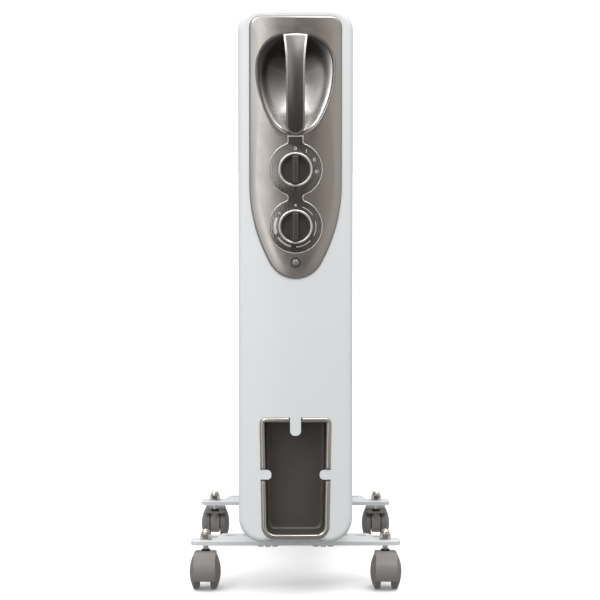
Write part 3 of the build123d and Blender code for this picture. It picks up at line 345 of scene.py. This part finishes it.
def soften(mesh, limit=32):
    """Smooth shading, with edges sharper than the limit left crisp."""
    mesh.polygons.foreach_set("use_smooth", [True] * len(mesh.polygons))
    mesh.set_sharp_from_angle(angle=radians(limit))


def piece(name, points, faces, slot, body="radiator", limit=32):
    """A mesh from points and faces, that rides on a body and takes a slot's look."""
    mesh = bpy.data.meshes.new(name)
    mesh.from_pydata([tuple(point) for point in points], [], faces)
    mesh.validate()
    soften(mesh, limit)
    mesh.materials.append(looks[slot])
    made = bpy.data.objects.new(name, mesh)
    bpy.context.scene.collection.objects.link(made)
    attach(made, body)
    return made


def skin(rings, closed=True):
    """Faces between rings of equal length, numbered ring after ring."""
    count = len(rings[0])
    faces = []
    for ring in range(len(rings) - 1):
        for step in range(count if closed else count - 1):
            after = (step + 1) % count
            faces.append((
                ring * count + step,
                ring * count + after,
                (ring + 1) * count + after,
                (ring + 1) * count + step,
            ))
    return faces


def arc(centre, radius, start, stop, steps):
    """Points on an arc, its angles in degrees, counted from +X towards +Z."""
    turns = [radians(start + (stop - start) * step / steps) for step in range(steps + 1)]
    return [(centre[0] + radius * cos(turn), centre[1] + radius * sin(turn)) for turn in turns]


def mirrored(right_half):
    """Closed loop from the points of its right half, listed from top to bottom."""
    return right_half + [(-x, z) for x, z in reversed(right_half) if abs(x) > TINY]


def inset(loop, distance):
    """The loop moved inwards by a distance, point by point along its normals."""
    moved = []
    for index, (x, z) in enumerate(loop):
        ax, az = loop[index - 1]
        bx, bz = loop[(index + 1) % len(loop)]
        along = Vector((bx - ax, bz - az)).normalized()
        moved.append((x + along.y * distance, z - along.x * distance))
    return moved


def by_direction(loop, centre, count):
    """Where rays from a centre, evenly turned clockwise from the top, meet the loop."""
    found = []
    polar = [
        (atan2(x - centre[0], z - centre[1]) % (2 * pi), hypot(x - centre[0], z - centre[1]))
        for x, z in loop
    ]
    start = min(range(len(polar)), key=lambda index: polar[index][0])
    polar = polar[start:] + polar[:start]
    polar = [(polar[-1][0] - 2 * pi, polar[-1][1]), *polar, (polar[0][0] + 2 * pi, polar[0][1])]
    index = 0
    for step in range(count):
        turn = 2 * pi * step / count
        while polar[index + 1][0] < turn:
            index += 1
        (a_turn, a), (b_turn, b) = polar[index], polar[index + 1]
        share = (turn - a_turn) / (b_turn - a_turn)
        # straight edge between the two points, met by the ray
        ax, az = a * sin(a_turn), a * cos(a_turn)
        bx, bz = b * sin(b_turn), b * cos(b_turn)
        across = (bx - ax) * cos(turn) - (bz - az) * sin(turn)
        if abs(across) > 1e-12:
            share = -(ax * cos(turn) - az * sin(turn)) / across
        x, z = ax + (bx - ax) * share, az + (bz - az) * share
        found.append((centre[0] + x, centre[1] + z))
    return found


def between(first, second, share):
    """Loop at a share of the way from one loop to another, point by point."""
    return [
        (ax + (bx - ax) * share, az + (bz - az) * share)
        for (ax, az), (bx, bz) in zip(first, second)
    ]


def thicken(made, thickness):
    """Gives an open skin a back, on the side away from its normals."""
    solid = made.modifiers.new("wall", "SOLIDIFY")
    solid.thickness = thickness
    solid.offset = -1


def paint(made, look, faces):
    """One more look, for some of a piece's faces."""
    made.data.materials.append(look)
    for index in faces:
        made.data.polygons[index].material_index = len(made.data.materials) - 1


# ---------------------------------------------------------------- outlines of the front pieces
def meeting(half, start, tip, tip_radius):
    """Side radius, and the angle at which the side arc meets the arc round the tip."""
    drop = abs(tip - start)
    side_radius = (half**2 + drop**2 - 2 * drop * tip_radius) / (2 * (half - tip_radius))
    rise, run = drop - tip_radius, side_radius - half
    if tip_radius > side_radius:
        rise, run = -rise, -run
    return side_radius, atan2(rise, run) * 180 / pi


fascia_low, fascia_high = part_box("control_fascia")
fascia_half = fascia_high.x
fascia_corner = 11.5 * MM
fascia_taper = fascia_high.z - 174.5 * MM
fascia_tip_radius = 30 * MM
# steps of the fascia's outline: top edge, corner, side and tip
fascia_steps = (12, 24, 60, 40)


def fascia_loop():
    """Upright oblong whose long sides taper in an arc towards a round tip."""
    side, angle = meeting(fascia_half, fascia_taper, fascia_low.z, fascia_tip_radius)
    corner = (fascia_half - fascia_corner, fascia_high.z - fascia_corner)
    tip = (0, fascia_low.z + fascia_tip_radius)
    top_steps, corner_steps, long_steps, tip_steps = fascia_steps
    return mirrored(
        [(corner[0] * step / top_steps, fascia_high.z) for step in range(top_steps)]
        + arc(corner, fascia_corner, 90, 0, corner_steps)
        + arc((fascia_half - side, fascia_taper), side, 0, -angle, long_steps)
        + arc(tip, fascia_tip_radius, -angle, -90, tip_steps)[1:]
    )


scoop_half = 39.2 * MM
scoop_heights = [z * MM for z in (494.7, 561.0, 565.0, 597.3)]
scoop_top_radius = 80 * MM
scoop_low_radius = 28 * MM
# steps of the scoop's outline: top, shoulder, side and foot
scoop_steps = (12, 40, 50, 40)


def scoop_loop():
    """Egg with its narrow end down: four arcs that run into each other."""
    low, wide_low, wide_high, top = scoop_heights
    side, angle = meeting(scoop_half, wide_low, low, scoop_low_radius)
    turn, bend = meeting(scoop_half, wide_high, top, scoop_top_radius)
    top_steps, shoulder_steps, long_steps, foot_arc_steps = scoop_steps
    return mirrored(
        arc((0, top - scoop_top_radius), scoop_top_radius, 90, bend, top_steps)
        + arc((scoop_half - turn, wide_high), turn, bend, 0, shoulder_steps)[1:]
        + arc((scoop_half - side, wide_low), side, 0, -angle, long_steps)
        + arc((0, low + scoop_low_radius), scoop_low_radius, -angle, -90, foot_arc_steps)[1:]
    )


# ---------------------------------------------------------------- control fascia and hand scoop
fascia_proud = 2 * MM
gap_width = 0.9 * MM                       # shadow line round the fascia
edge_radius = 1.3 * MM
pillow = 1.0 * MM                          # how far the fascia falls away towards its edge
pillow_width = 17 * MM
scoop_centre = (0, 0.551)
lip_radius = 2.2 * MM
bowl_depth = 27 * MM
bowl_round = 0.2                           # how round the bowl's deepest place is
bowl_span = hypot(1, bowl_round) - bowl_round
fascia_sunk = 0.02 * MM                    # the shadow line's floor, just ahead of the cover
fascia_wall = 1.0 * MM
rays = 384
edge_steps = 6
face_steps = 22
face_crowding = 1.4                        # rings lie closer together near the edge
lip_steps = 6
lip_drop = 0.9                             # the lip falls by this share of its radius
bowl_steps = 36
bowl_meets = 3                             # the bowl has left the crown at a third of its reach


def outward(point, distance):
    """The point moved away from the scoop's middle."""
    (x, z), (middle_x, middle_z) = point, scoop_centre
    reach = hypot(x - middle_x, z - middle_z)
    return (
        x + (x - middle_x) / reach * distance,
        z + (z - middle_z) / reach * distance,
    )


def fascia_skin():
    """Points and faces from the shadow line over the face into the scoop's bowl."""
    outer = by_direction(fascia_loop(), scoop_centre, rays)
    mouth = by_direction(scoop_loop(), scoop_centre, rays)
    edge_proud = fascia_proud - pillow
    rings = []

    def ring(loop, proud):
        heights = proud if isinstance(proud, list) else [proud] * rays
        rings.append([(x, crown_y(x, height), z) for (x, z), height in zip(loop, heights)])

    # shadow line, then the rounded edge
    ring(outer, fascia_sunk)
    ring(inset(outer, gap_width), fascia_sunk)
    for step in range(edge_steps + 1):
        turn = pi / 2 * step / edge_steps
        ring(
            inset(outer, gap_width + edge_radius * (1 - cos(turn))),
            edge_proud - edge_radius + edge_radius * sin(turn),
        )
    # pillowed face
    flat = inset(outer, gap_width + edge_radius)
    lip = [outward(point, lip_radius) for point in mouth]
    for step in range(1, face_steps + 1):
        loop = between(flat, lip, (step / face_steps) ** face_crowding)
        heights = []
        for (x, z), (edge_x, edge_z) in zip(loop, flat):
            near = min(hypot(x - edge_x, z - edge_z) / pillow_width, 1)
            heights.append(fascia_proud - pillow * (1 - near) ** 2)
        ring(loop, heights)
    # lip of the scoop
    for step in range(1, lip_steps):
        turn = pi / 2 * step / lip_steps
        ring(between(lip, mouth, sin(turn)), fascia_proud - lip_radius * (1 - cos(turn)) * lip_drop)
    # bowl, from its steep wall to its flat middle
    middle_x, middle_z = scoop_centre
    for step in range(bowl_steps):
        share = 1 - step / bowl_steps
        depth = bowl_depth * (1 - (hypot(share, bowl_round) - bowl_round) / bowl_span)
        crowned = max(0.0, 1 - (1 - share) * bowl_meets) ** 2
        placed = []
        for mouth_x, mouth_z in mouth:
            x = middle_x + (mouth_x - middle_x) * share
            z = middle_z + (mouth_z - middle_z) * share
            on_crown = crown_y(x, fascia_proud - lip_radius) + depth
            placed.append((x, (1 - crowned) * (front_y + depth) + crowned * on_crown, z))
        rings.append(placed)
    points = [point for loop in rings for point in loop]
    faces = skin(rings)
    middle = len(points)
    points.append((middle_x, front_y + bowl_depth, middle_z))
    last = (len(rings) - 1) * rays
    faces += [(last + step, last + (step + 1) % rays, middle) for step in range(rays)]
    return points, faces


fascia = piece("fascia_shell", *fascia_skin(), "fascia")
fascia_faces = len(fascia.data.polygons)
bowl_start = fascia_faces - (bowl_steps + 1) * rays
lip_start = bowl_start - (lip_steps - 1) * rays
# painted shade: the shadow line round the fascia takes the tray's dark colour
paint(fascia, looks["tray"], range(rays))
# painted shade on the scoop's lip
paint(fascia, lip_painted_shade, range(lip_start, bowl_start))
# the bowl's colour holds painted shade at its top left and painted light below
paint(fascia, scoop_painted_shading(), range(bowl_start, fascia_faces))
thicken(fascia, fascia_wall)
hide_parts("control_fascia")


# ---------------------------------------------------------------- storage tray with its beaded rim
tray_low, tray_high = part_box("storage_tray")
tray_half_top = 37.8 * MM
tray_half_low = 35.4 * MM
tray_top_corner = 6.5 * MM
tray_low_corner = 14 * MM
tray_depth = 26 * MM
bead_width = 4.4 * MM
bead_inside = 0.25 * MM                    # from the bead to the pocket's wall
cover_edge = 6 * MM                        # rounding of the cover's front edge
edge_start = 66.4 * MM                     # its lower edge, under the tray
side_hook = (136 * MM, 5.6 * MM)           # height of the side hooks and half their width
top_hook_half = 6.3 * MM
hook_drop = 3.3 * MM                       # the bead dips this far to pass behind a hook
hook_reach = 12 * MM                       # below the tray's top, where the top hook counts
dip_end = 1.22                             # the dip fades out past a hook, in half widths
dip_fade = 0.12
side_steps = 90
tray_corner_steps = (14, 24)               # at the top and at the foot
tray_edge_steps = (24, 14)
wall_shares = (0.0, 0.35, 1.0)             # rings down the pocket's wall
floor_shares = (0.85, 0.6, 0.3)            # and in towards its floor's middle

tray_gap = 0.05 * MM                       # between the tray's edge and the opening
rim_back = -2.6 * MM                       # the rim's skin starts this far behind the cover's
rim_front = -1.2 * MM
bead_start = 0.5 * MM
bead_steps = 10
bead_base = -0.9 * MM
bead_height = 1.5 * MM
wall_back = -2 * MM                        # the pocket's wall starts here
foot_radius = 5 * MM
foot_steps = 7
foot_half_height = 60 * MM
tray_wall = 0.9 * MM


def tray_loop():
    """Oblong with rounded corners, a little narrower at its foot."""
    lean = (tray_half_top - tray_half_low) / (tray_high.z - tray_low.z)
    tilt_degrees = atan2(lean, 1) * 180 / pi
    top_centre = (
        tray_half_top - tray_top_corner - lean * tray_top_corner, tray_high.z - tray_top_corner
    )
    low_centre = (
        tray_half_low - tray_low_corner + lean * tray_low_corner, tray_low.z + tray_low_corner
    )
    top_steps, low_steps = tray_edge_steps
    start = arc(top_centre, tray_top_corner, 90, -tilt_degrees, tray_corner_steps[0])
    finish = arc(low_centre, tray_low_corner, -tilt_degrees, -90, tray_corner_steps[1])
    across = [(start[0][0] * step / top_steps, tray_high.z) for step in range(top_steps)]
    (ax, az), (bx, bz) = start[-1], finish[0]
    upright = [
        (ax + (bx - ax) * step / side_steps, az + (bz - az) * step / side_steps)
        for step in range(1, side_steps)
    ]
    under = [
        (finish[-1][0] * (1 - step / low_steps), tray_low.z) for step in range(1, low_steps + 1)
    ]
    return mirrored(across + start + upright + finish + under)


def tray_y(x, z, proud):
    """Depth on the cover's skin, which turns back at its lower edge."""
    fall = max(0.0, edge_start + cover_edge - z)
    turned = cover_edge - sqrt(max(0.0, cover_edge**2 - min(fall, cover_edge) ** 2))
    return crown_y(x, proud) + turned


def hook_dip(x, z):
    """How much of the full dip the bead makes at a place on the rim."""
    side = abs(z - side_hook[0]) / side_hook[1]
    top = abs(x) / top_hook_half if z > tray_high.z - hook_reach else dip_end
    near = min(side, top)
    return min(1.0, max(0.0, (dip_end - near) / dip_fade))


def tray_skin():
    """Points and faces of the beaded rim, the pocket's wall and its floor."""
    loop = tray_loop()
    rings = []

    def ring(distance, proud):
        rings.append([
            (x, tray_y(x, z, proud) + (hook_drop + proud) * hook_dip(x, z), z)
            for x, z in inset(loop, distance)
        ])

    ring(tray_gap, rim_back)
    ring(tray_gap, rim_front)
    ring(bead_start, rim_front)
    bead_half = (bead_width - bead_start) / 2
    for step in range(bead_steps + 1):
        turn = pi * step / bead_steps
        ring(bead_start + bead_half - bead_half * cos(turn), bead_base + bead_height * sin(turn))
    # pocket wall, its rounded foot and the floor
    floor_y = front_y + tray_depth
    foot_y = floor_y - foot_radius
    placed = inset(loop, bead_width + bead_inside)
    count = len(loop)
    for share in wall_shares:
        wall = []
        for x, z in placed:
            front = tray_y(x, z, wall_back)
            deep = max(front, (1 - share) * front + share * foot_y)
            wall.append((x, deep + hook_dip(x, z) * (1 - share) * hook_drop, z))
        rings.append(wall)
    centre_z = (tray_low.z + tray_high.z) / 2
    for step in range(1, foot_steps + 1):
        turn = pi / 2 * step / foot_steps
        shrink = foot_radius * (1 - cos(turn))
        rings.append([
            (
                x - shrink * x / tray_half_low,
                foot_y + foot_radius * sin(turn),
                z - shrink * (z - centre_z) / foot_half_height,
            )
            for x, z in placed
        ])
    last = rings[-1]
    for share in floor_shares:
        rings.append([(x * share, y, centre_z + (z - centre_z) * share) for x, y, z in last])
    points = [point for each in rings for point in each]
    faces = skin(rings)
    middle = len(points)
    points.append((0, floor_y, centre_z))
    start = (len(rings) - 1) * count
    faces += [(start + step, start + (step + 1) % count, middle) for step in range(count)]
    return points, faces, count


tray_points, tray_faces, tray_count = tray_skin()
tray_piece = piece("tray_shell", tray_points, tray_faces, "tray")
bead_rings = (2, bead_steps + 3)           # the bead lies between these rings
paint(tray_piece, looks["fascia"], range(*[ring * tray_count for ring in bead_rings]))
thicken(tray_piece, tray_wall)
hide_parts("storage_tray")

# ---------------------------------------------------------------- dial bezel and its edge
bezel_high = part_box("bezel_trim")[1]
dial_radius = bezel_high.x
neck_half = 9 * MM
neck_fillet = 2 * MM
disc_steps = 72
fillet_steps = 8
neck_steps = 4
# the rim's section in millimetres: distance inwards from the outline and how far proud
rim_groove = [(0.0, 1.9), (0.0, 2.5), (0.35, 2.85), (0.75, 3.05), (0.8, 3.35)]
rim_bead = (1.25, 3.35, 0.45, 0.3)         # its middle, half width and height
rim_back_edge = [(1.8, 2.9), (1.8, 1.9)]
rim_steps = 8


def centre_of(node):
    """Middle of a node's box."""
    low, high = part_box(node)
    return (low + high) / 2


power_z = centre_of("power_knob_ring").z
heat_z = centre_of("thermostat_knob_ring").z


def bezel_loop():
    """Two discs joined by a neck, with small fillets in the corners."""
    reach = dial_radius + neck_fillet
    corner_x = neck_half + neck_fillet
    rise = sqrt(reach**2 - corner_x**2)
    lean = atan2(rise, corner_x) * 180 / pi
    top_z = bezel_high.z

    def fillet(z, start, stop):
        return arc((corner_x, z), neck_fillet, start, stop, fillet_steps)

    top_fillet = fillet(power_z + rise, 180, 180 + lean)
    neck_foot = top_fillet[0][1]
    return mirrored(
        [(0, top_z), (neck_half / 2, top_z), (neck_half, top_z)]
        + [
            (neck_half, top_z + (neck_foot - top_z) * step / neck_steps)
            for step in range(1, neck_steps)
        ]
        + top_fillet
        + arc((0, power_z), dial_radius, lean, -lean, disc_steps)[1:-1]
        + fillet(power_z - rise, 180 - lean, 180)
        + fillet(heat_z + rise, 180, 180 + lean)
        + arc((0, heat_z), dial_radius, lean, -90, disc_steps)[1:]
    )


def bezel_edge():
    """The rim's section swept round the outline, open where it meets the plate."""
    loop = bezel_loop()
    across, proud, half_width, height = rim_bead
    profile = list(rim_groove)
    for step in range(1, rim_steps + 1):
        turn = pi * step / rim_steps
        profile.append((across - half_width * cos(turn), proud + height * sin(turn)))
    profile += rim_back_edge
    rings = [
        [(x, crown_y(x, height_mm * MM), z) for x, z in inset(loop, distance * MM)]
        for distance, height_mm in profile
    ]
    points = [point for ring in rings for point in ring]
    return points, skin(rings), len(loop)


plate_inset = 0.9 * MM                     # the plate's edge lies under the rim's bead
plate_proud = 3.0 * MM
plate_wall = 0.9 * MM
plate_rows = 260
plate_columns = 28
plate_tip = 0.3 * MM                       # points nearer the middle than this are left out


def bezel_plate():
    """Rows of points across the figure of eight, each as wide as the outline there."""
    loop = inset(bezel_loop(), plate_inset)
    right = sorted((z, x) for x, z in loop[: len(loop) // 2 + 1] if x > plate_tip)
    low, high = right[0][0], right[-1][0]
    rings = []
    index = 0
    for row in range(plate_rows + 1):
        z = low + (high - low) * (0.5 - 0.5 * cos(pi * row / plate_rows))
        while index < len(right) - 2 and right[index + 1][0] < z:
            index += 1
        (a, first), (b, second) = right[index], right[index + 1]
        share = 0 if b == a else min(1, max(0, (z - a) / (b - a)))
        half = first + (second - first) * share
        row_x = [half * (2 * step / plate_columns - 1) for step in range(plate_columns + 1)]
        rings.append([(x, crown_y(x, plate_proud), z) for x in row_x])
    return [point for ring in rings for point in ring], skin(rings, closed=False)


bezel_face = piece("bezel_plate", *bezel_plate(), "bezel")
thicken(bezel_face, plate_wall)
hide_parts("dial_bezel")

edge_points, edge_faces, edge_count = bezel_edge()
bezel_rim = piece("bezel_rim", edge_points, edge_faces, "bright_trim")
# painted shade: the rim's outer groove takes the lamp ring's black, a dark shadow line round the
# dial plate
paint(bezel_rim, looks["lamp_ring"], range((len(rim_groove) - 1) * edge_count))
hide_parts("bezel_trim")

# ---------------------------------------------------------------- handle with a crowned face
trim_low, trim_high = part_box("handle_trim")
handle_proud = 16 * MM
handle_end = 4.5 * MM                      # how far its ends stand ahead of the cover's face
handle_mid = (trim_low.z + trim_high.z) / 2
grip_inner = 6.5 * MM                      # the grip's back, at the middle and at its ends
grip_inner_end = -14 * MM
foot_depth = 2.2 * MM                      # its feet reach this far towards the cover
face_crown = 0.9 * MM
face_lift = 0.2 * MM
grip_stations = 80
grip_across = 10
crisp_limit = 40                           # degrees, above the crown's own bends
outline_heights = [z * MM for z in (495.4, 497.2, 500.0, 503.0, 530.0, 560.0, 575.0, 586.0, 595.9)]
outline_halves = [x * MM for x in (2.2, 5.6, 7.1, 7.6, 7.7, 7.8, 8.35, 9.2, 10.6)]


def through_points(z, heights, values):
    """Value at a height, read off a table of points with straight lines between them."""
    for index in range(len(heights) - 1):
        if z <= heights[index + 1]:
            share = (z - heights[index]) / (heights[index + 1] - heights[index])
            return values[index] + (values[index + 1] - values[index]) * max(0, share)
    return values[-1]


def arched(z, ends, middle):
    """Arc in the side view, from one end's reach through the middle's reach."""
    half = (trim_high.z - trim_low.z) / 2 + MM
    rise = middle - ends
    radius = (half**2 + rise**2) / (2 * rise)
    return middle - radius + sqrt(radius**2 - (z - handle_mid) ** 2)


def handle_skin():
    """Points and faces of the grip: a crowned face and a flat back, station by station."""
    rings = []
    low, high = outline_heights[0], outline_heights[-1]
    for station in range(grip_stations + 1):
        z = low + (high - low) * station / grip_stations
        half = through_points(z, outline_heights, outline_halves)
        face = front_y - arched(z, handle_end, handle_proud)
        inner = min(front_y - arched(z, grip_inner_end, grip_inner), front_y - foot_depth)
        ring = []
        for step in range(2 * grip_across + 1):
            across = step / grip_across - 1
            crowned = face + face_lift - face_crown * (1 - across * across)
            ring.append((half * across, crowned, z))
        for step in range(2 * grip_across + 1):
            ring.append((half * (1 - step / grip_across), inner, z))
        rings.append(ring)
    count = len(rings[0])
    faces = skin(rings)
    last = (len(rings) - 1) * count
    faces.append(tuple(range(count)))
    faces.append(tuple(reversed(range(last, last + count))))
    return [point for ring in rings for point in ring], faces


handle_piece = piece("handle_grip", *handle_skin(), "handle", limit=crisp_limit)
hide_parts("handle")

# ---------------------------------------------------------------- dial marks
bezel_proud = front_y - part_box("dial_bezel")[0].y
mark_lift = 0.12 * MM
arc_radius = 21.4 * MM
zero_radius = 22 * MM
numeral_radius = 22.1 * MM
plus_radius = 21.8 * MM


def dial_point(centre_z, radius, angle):
    """Point on a dial, its angle in degrees counted clockwise from the top."""
    turn = radians(angle)
    return (radius * sin(turn), centre_z + radius * cos(turn))


def stand_up(strips):
    """Points and faces of flat marks, each strip a pair of edge lines of (x, z) points."""
    points, faces = [], []
    for left, right in strips:
        base = len(points)
        count = len(left)
        for proud in (bezel_proud - mark_lift, bezel_proud + mark_lift):
            for line in (left, right):
                points += [(x, crown_y(x, proud), z) for x, z in line]
        for step in range(count - 1):
            low_l, low_r = base + step, base + count + step
            top_l, top_r = base + 2 * count + step, base + 3 * count + step
            faces += [
                (top_l, top_l + 1, top_r + 1, top_r),
                (low_l, low_r, low_r + 1, low_l + 1),
                (low_l, low_l + 1, top_l + 1, top_l),
                (low_r, top_r, top_r + 1, low_r + 1),
            ]
        for end in (0, count - 1):
            corners = [base + end + count * row for row in (0, 1, 3, 2)]
            faces.append(tuple(corners if end == 0 else reversed(corners)))
    return points, faces


def arc_strip(centre_z, radius, width, start, stop, steps=28):
    """Curved bar on a dial, between two angles."""
    angles = [start + (stop - start) * step / steps for step in range(steps + 1)]
    return tuple(
        [dial_point(centre_z, radius + side * width / 2, angle) for angle in angles]
        for side in (-1, 1)
    )


def bar_strip(x, z, width, height):
    """Upright bar round a point."""
    return (
        [(x - width / 2, z - height / 2), (x - width / 2, z + height / 2)],
        [(x + width / 2, z - height / 2), (x + width / 2, z + height / 2)],
    )


def spoke_strip(x, z, length, width, angle):
    """Bar through a point, turned clockwise from upright."""
    along = Vector((sin(radians(angle)), cos(radians(angle))))
    across = Vector((along.y, -along.x))
    middle = Vector((x, z))
    return tuple(
        [tuple(middle + along * end * length / 2 + across * side * width / 2) for end in (-1, 1)]
        for side in (-1, 1)
    )


def oval_strip(x, z, half_width, half_height, width, steps=32):
    """Closed oval line round a point."""
    turns = [2 * pi * step / steps for step in range(steps + 1)]
    edges = []
    for side in (-1, 1):
        reach_x = half_width + side * width / 2
        reach_z = half_height + side * width / 2
        edges.append([(x + reach_x * sin(turn), z + reach_z * cos(turn)) for turn in turns])
    return tuple(edges)


numeral_height = 3.6 * MM
numeral_stroke = 0.75 * MM
numeral_gap = 1.35 * MM

zero = (1.1 * MM, 1.5 * MM, 0.6 * MM)      # half width, half height and stroke
frost_spoke = (3.0 * MM, 0.45 * MM)        # length and stroke
plus_spoke = (2.6 * MM, 0.5 * MM)
numerals = ((1, 31), (2, 63), (3, 96))     # bars and angle of I, II and III
heat_arcs = (                              # width in millimetres, first and last angle
    (0.6, 19, 56),
    (0.9, 76, 117),
    (1.4, 134, 178),
    (1.9, 193, 238),
    (2.5, 249, 295),
)
plus_angle = 309

power_strips = [oval_strip(0, power_z + zero_radius, *zero)]
for bars, angle in numerals:
    x, z = dial_point(power_z, numeral_radius, angle)
    for bar in range(bars):
        shift = (bar - (bars - 1) / 2) * numeral_gap
        power_strips.append(bar_strip(x + shift, z, numeral_stroke, numeral_height))
power_marks = piece("power_marks", *stand_up(power_strips), "bezel")

heat_strips = [
    arc_strip(heat_z, arc_radius, width * MM, start, stop) for width, start, stop in heat_arcs
]
for angle in (0, 60, 120):
    heat_strips.append(spoke_strip(0, heat_z + zero_radius, *frost_spoke, angle))
x, z = dial_point(heat_z, plus_radius, plus_angle)
for angle in (0, 90):
    heat_strips.append(spoke_strip(x, z, *plus_spoke, angle))
heat_marks = piece("heat_marks", *stand_up(heat_strips), "bezel")
for marks in (power_marks, heat_marks):
    marks.data.materials.clear()
    marks.data.materials.append(looks["marks"])


# ---------------------------------------------------------------- stage, light and camera
floor_half = 40.0
floor_glow = 0.16                          # lifts the paper towards white
floor_corners = [
    (floor_half * x, floor_half * y, 0) for x, y in ((-1, -1), (1, -1), (1, 1), (-1, 1))
]
floor_mesh = bpy.data.meshes.new("floor")
floor_mesh.from_pydata(floor_corners, [], [(0, 1, 2, 3)])
floor = bpy.data.objects.new("floor", floor_mesh)
bpy.context.scene.collection.objects.link(floor)
floor.visible_glossy = False
floor.visible_diffuse = False
paper = Look("floor_paper", roughness=0.9)
paper.colour(paper.mix(paper.noise(6, 3), (0.95, 0.95, 0.95), (0.98, 0.98, 0.98)))
paper.shader.inputs["Emission Color"].default_value = (1, 1, 1, 1)
paper.shader.inputs["Emission Strength"].default_value = floor_glow
floor_mesh.materials.append(paper.material)


def softbox(name, place, target, width, height, power):
    """Rectangular area light at a place, turned to a target."""
    light = bpy.data.lights.new(name, "AREA")
    light.shape = "RECTANGLE"
    light.size = width
    light.size_y = height
    light.energy = power
    lamp = bpy.data.objects.new(name, light)
    lamp.location = place
    lamp.rotation_euler = (Vector(target) - Vector(place)).to_track_quat("-Z", "Y").to_euler()
    bpy.context.scene.collection.objects.link(lamp)


# place, target, width, height and power
softbox("left_softbox", (-1.2, -1.6, 1.6), (0, 0, 0.55), 0.7, 0.9, 10)
softbox("top_softbox", (0.25, -0.85, 1.3), (0, front_y, 0.56), 0.6, 0.4, 3.6)


world_strength = 2.0                       # doubles what the ramps hold, one at most
backdrop_strength = 1.05                   # what the camera itself sees
side_colour = (0.30, 0.30, 0.305)
ground_colour = (0.17, 0.17, 0.17)
ceiling_colour = (0.95, 0.95, 0.96)
band_behind_lens = (                       # across the room, from left to right
    (-1.0, (0.30, 0.30, 0.30)),
    (1.0, (0.30, 0.29, 0.28)),
    (-0.50, (0.60, 0.60, 0.60)),
    (-0.22, (0.95, 0.94, 0.92)),
    (-0.13, (0.12, 0.115, 0.11)),
    (0.12, (0.07, 0.066, 0.063)),
    (0.20, (0.26, 0.235, 0.215)),
    (0.50, (0.34, 0.32, 0.30)),
)


def make_world():
    """White studio with a bright ceiling; what lies behind the lens is darker in the middle."""
    world = bpy.data.worlds.new("studio")
    world.use_nodes = True
    tree = world.node_tree
    tree.nodes.clear()

    def ramp(source, low, high, stops):
        """Colours by an output's value, each stop a place between low and high and a colour."""
        scaled = tree.nodes.new("ShaderNodeMapRange")
        scaled.inputs["From Min"].default_value = low
        scaled.inputs["From Max"].default_value = high
        tree.links.new(source, scaled.inputs["Value"])
        made = tree.nodes.new("ShaderNodeValToRGB")
        tree.links.new(scaled.outputs[0], made.inputs[0])
        elements = made.color_ramp.elements
        for index, (place, colour) in enumerate(stops):
            share = (place - low) / (high - low)
            stop = elements[index] if index < 2 else elements.new(share)
            stop.position = share
            stop.color = (*colour, 1)
        return made.outputs[0]

    def blend(factor, first, second):
        made = tree.nodes.new("ShaderNodeMix")
        made.data_type = "RGBA"
        tree.links.new(factor, made.inputs["Factor"])
        for index, value in zip(MIX_INPUTS, (first, second)):
            if isinstance(value, tuple):
                made.inputs[index].default_value = (*value, 1)
            else:
                tree.links.new(value, made.inputs[index])
        return made.outputs[MIX_OUTPUT]

    split = tree.nodes.new("ShaderNodeSeparateXYZ")
    tree.links.new(tree.nodes.new("ShaderNodeTexCoord").outputs["Generated"], split.inputs[0])
    black, white = (0, 0, 0), (1, 1, 1)
    front_band = ramp(split.outputs["X"], -1, 1, band_behind_lens)
    behind_lens = ramp(split.outputs["Y"], -1, 0, [(-0.80, white), (-0.60, black)])
    level_ring = blend(behind_lens, side_colour, front_band)
    below = ramp(split.outputs["Z"], -1, 1, [(-0.35, white), (-0.10, black)])
    with_ground = blend(below, level_ring, ground_colour)
    above = ramp(split.outputs["Z"], -1, 1, [(0.45, black), (0.75, white)])
    with_ceiling = blend(above, with_ground, ceiling_colour)

    cast = tree.nodes.new("ShaderNodeBackground")
    cast.inputs["Strength"].default_value = world_strength
    tree.links.new(with_ceiling, cast.inputs["Color"])
    seen = tree.nodes.new("ShaderNodeBackground")
    seen.inputs["Color"].default_value = (1, 1, 1, 1)
    seen.inputs["Strength"].default_value = backdrop_strength
    choose = tree.nodes.new("ShaderNodeMixShader")
    path = tree.nodes.new("ShaderNodeLightPath")
    tree.links.new(path.outputs["Is Camera Ray"], choose.inputs[0])
    tree.links.new(cast.outputs[0], choose.inputs[1])
    tree.links.new(seen.outputs[0], choose.inputs[2])
    output = tree.nodes.new("ShaderNodeOutputWorld")
    tree.links.new(choose.outputs[0], output.inputs[0])
    bpy.context.scene.world = world


make_world()
bpy.context.scene.view_settings.view_transform = "Standard"

camera_distance = 1.930                    # from the cover's face
camera_height = 0.4737
sensor_width = 36
frame_units = 600                          # the frame's width, in the unit of the next two
focal_length = 1850
side_offset = 4.5                          # the view's middle lies this far right of the object's
tilt = 0.0532                              # downwards; lens shift makes up the rest of the drop
lens_shift = 0.08

camera_data = bpy.data.cameras.new("camera")
camera_data.sensor_width = sensor_width
camera_data.lens = sensor_width * focal_length / frame_units
camera_data.shift_y = -lens_shift
camera = bpy.data.objects.new("camera", camera_data)
camera.location = (0, front_y - camera_distance, camera_height)
pan = atan2(side_offset, focal_length)
camera.rotation_euler = (pi / 2 - tilt, 0, -pan)
bpy.context.scene.collection.objects.link(camera)
bpy.context.scene.camera = camera
